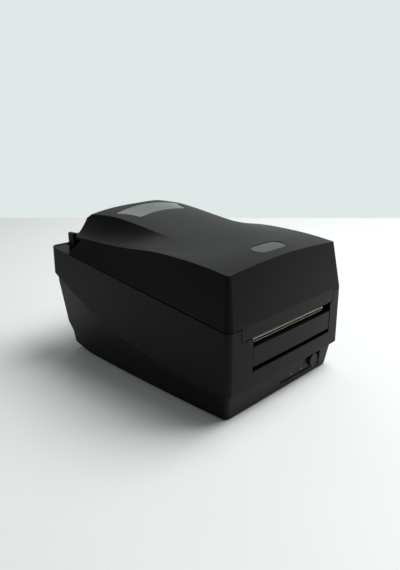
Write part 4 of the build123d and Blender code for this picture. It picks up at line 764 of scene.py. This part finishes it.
def on_bar(mark):
    """A bar, standing upright on the face."""
    half = Vector((mark_width, mark_length, mark_thickness)) / 2
    bar(mark, -half, half, mark_thickness / 4)


def off_ring(mark):
    """A ring of the bar's width and height."""
    outer, half = mark_length / 2, mark_thickness / 2
    inner = outer - mark_width
    profile = [(outer, -half), (outer, half), (inner, half), (inner, -half)]
    turned_ring(mark, (0, 0, 0), ((1, 0, 0), (0, 1, 0), (0, 0, 1)), profile, 32)
    bmesh.ops.recalc_face_normals(mark, faces=mark.faces)


rocker_mark("rocker_mark_on", True, on_bar)
rocker_mark("rocker_mark_off", False, off_ring)


# Bench: a top of matt white laminate, plain so that the printer's shadow shows. It reaches from
# behind the camera to a straight edge square to the view, with the pale room beyond.
camera_place = Vector((-467.5, -450.0, 299.8)) * mm
camera_azimuth = radians(-46.83)
camera_elevation = radians(17.95)
heading = Vector((-sin(camera_azimuth), cos(camera_azimuth), 0))
aside = Vector((heading.y, -heading.x, 0))
bench_reach = (-3.0, 1.494)
bench_width = 6.0

laminate, tree, shader = start_material("laminate_white_matt")
speckle = add_node(tree, "ShaderNodeTexNoise", {"Vector": place_in(tree), "Scale": 1 / (120 * mm)})
tone = add_node(
    tree,
    "ShaderNodeMix",
    {"Factor": speckle.outputs["Fac"], "A": linear("#f2f4f3"), "B": linear("#f5f7f6")},
    data_type="RGBA",
)
tree.links.new(tone.outputs["Result"], shader.inputs["Base Color"])
shader.inputs["Roughness"].default_value = 0.6
bench_mesh = bmesh.new()
base = Vector((camera_place.x, camera_place.y, 0))
corners = []
for reach, side in ((0, -1), (0, 1), (1, 1), (1, -1)):
    spot = base + heading * bench_reach[reach] + aside * side * bench_width / 2
    corners.append(bench_mesh.verts.new(spot))
bench_mesh.faces.new(corners)
bench_data = bpy.data.meshes.new("bench")
bench_mesh.to_mesh(bench_data)
bench_mesh.free()
bench_data.materials.append(laminate)
bench = bpy.data.objects.new("bench", bench_data)
bpy.context.scene.collection.objects.link(bench)


# Light: a large softbox above the right, a weak one behind, and a pale room. Its reflection fades
# to the left and overhead, so that the cover's deck shines and the left flank stays black.
def softbox(name, place, aim, size, power):
    """A soft rectangular lamp at place, in metres, that points at aim."""
    lamp = bpy.data.lights.new(name, "AREA")
    lamp.shape = "RECTANGLE"
    lamp.size, lamp.size_y = size
    lamp.energy = power
    holder = bpy.data.objects.new(name, lamp)
    holder.location = place
    holder.rotation_euler = (Vector(aim) - Vector(place)).to_track_quat("-Z", "Y").to_euler()
    bpy.context.scene.collection.objects.link(holder)


lit_middle = (0.0, 0.0, 0.08)
softbox("softbox_right", (0.8, -0.4, 1.6), lit_middle, (1.3, 1.3), 35.0)
softbox("softbox_back", (0.8, 1.0, 1.2), lit_middle, (0.8, 0.6), 1.5)

world = bpy.data.worlds.new("room")
bpy.context.scene.world = world
world.use_nodes = True
tree = world.node_tree
tree.nodes.clear()
path = add_node(tree, "ShaderNodeLightPath")
direct = add_node(
    tree,
    "ShaderNodeMath",
    {0: path.outputs["Is Camera Ray"], 1: path.outputs["Is Transmission Ray"]},
    operation="MAXIMUM",
)
direction = add_node(tree, "ShaderNodeTexCoord").outputs["Generated"]
window_side = (0.75, 0.5, -0.9)
facing = add_node(
    tree, "ShaderNodeVectorMath", {0: direction, 1: window_side}, operation="DOT_PRODUCT"
)
walls = add_node(
    tree,
    "ShaderNodeMapRange",
    {"Value": facing.outputs["Value"], "From Min": 0.0, "From Max": 0.6},
)
mirrored = add_node(
    tree,
    "ShaderNodeMath",
    {0: path.outputs["Is Glossy Ray"], 1: walls.outputs["Result"]},
    operation="MULTIPLY",
)
seen = add_node(
    tree,
    "ShaderNodeMath",
    {0: direct.outputs[0], 1: mirrored.outputs[0]},
    operation="MAXIMUM",
)
ambient = add_node(tree, "ShaderNodeBackground", {"Color": linear("#e8eeee"), "Strength": 0.24})
shown = add_node(tree, "ShaderNodeBackground", {"Color": linear("#e1e8e8"), "Strength": 1.0})
either = add_node(
    tree,
    "ShaderNodeMixShader",
    {0: seen.outputs[0], 1: ambient.outputs[0], 2: shown.outputs[0]},
)
add_node(tree, "ShaderNodeOutputWorld", {"Surface": either.outputs[0]})


# Camera: about 0.7 m away, to the left and above, as in a catalogue picture. Its lens is 579.52
# pixels long in a frame that is 570 pixels high.
focal_pixels = 579.52
frame_height = 570
camera_data = bpy.data.cameras.new("camera")
camera_data.sensor_width = 36.0
camera_data.lens = focal_pixels * camera_data.sensor_width / frame_height
camera_data.clip_end = 20.0
camera = bpy.data.objects.new("camera", camera_data)
camera.location = camera_place
look = Matrix.Rotation(camera_azimuth, 4, "Z") @ Matrix.Rotation(
    pi / 2 - camera_elevation, 4, "X"
)
camera.rotation_euler = look.to_euler()
bpy.context.scene.collection.objects.link(camera)
bpy.context.scene.camera = camera
bpy.context.scene.view_settings.view_transform = "Standard"
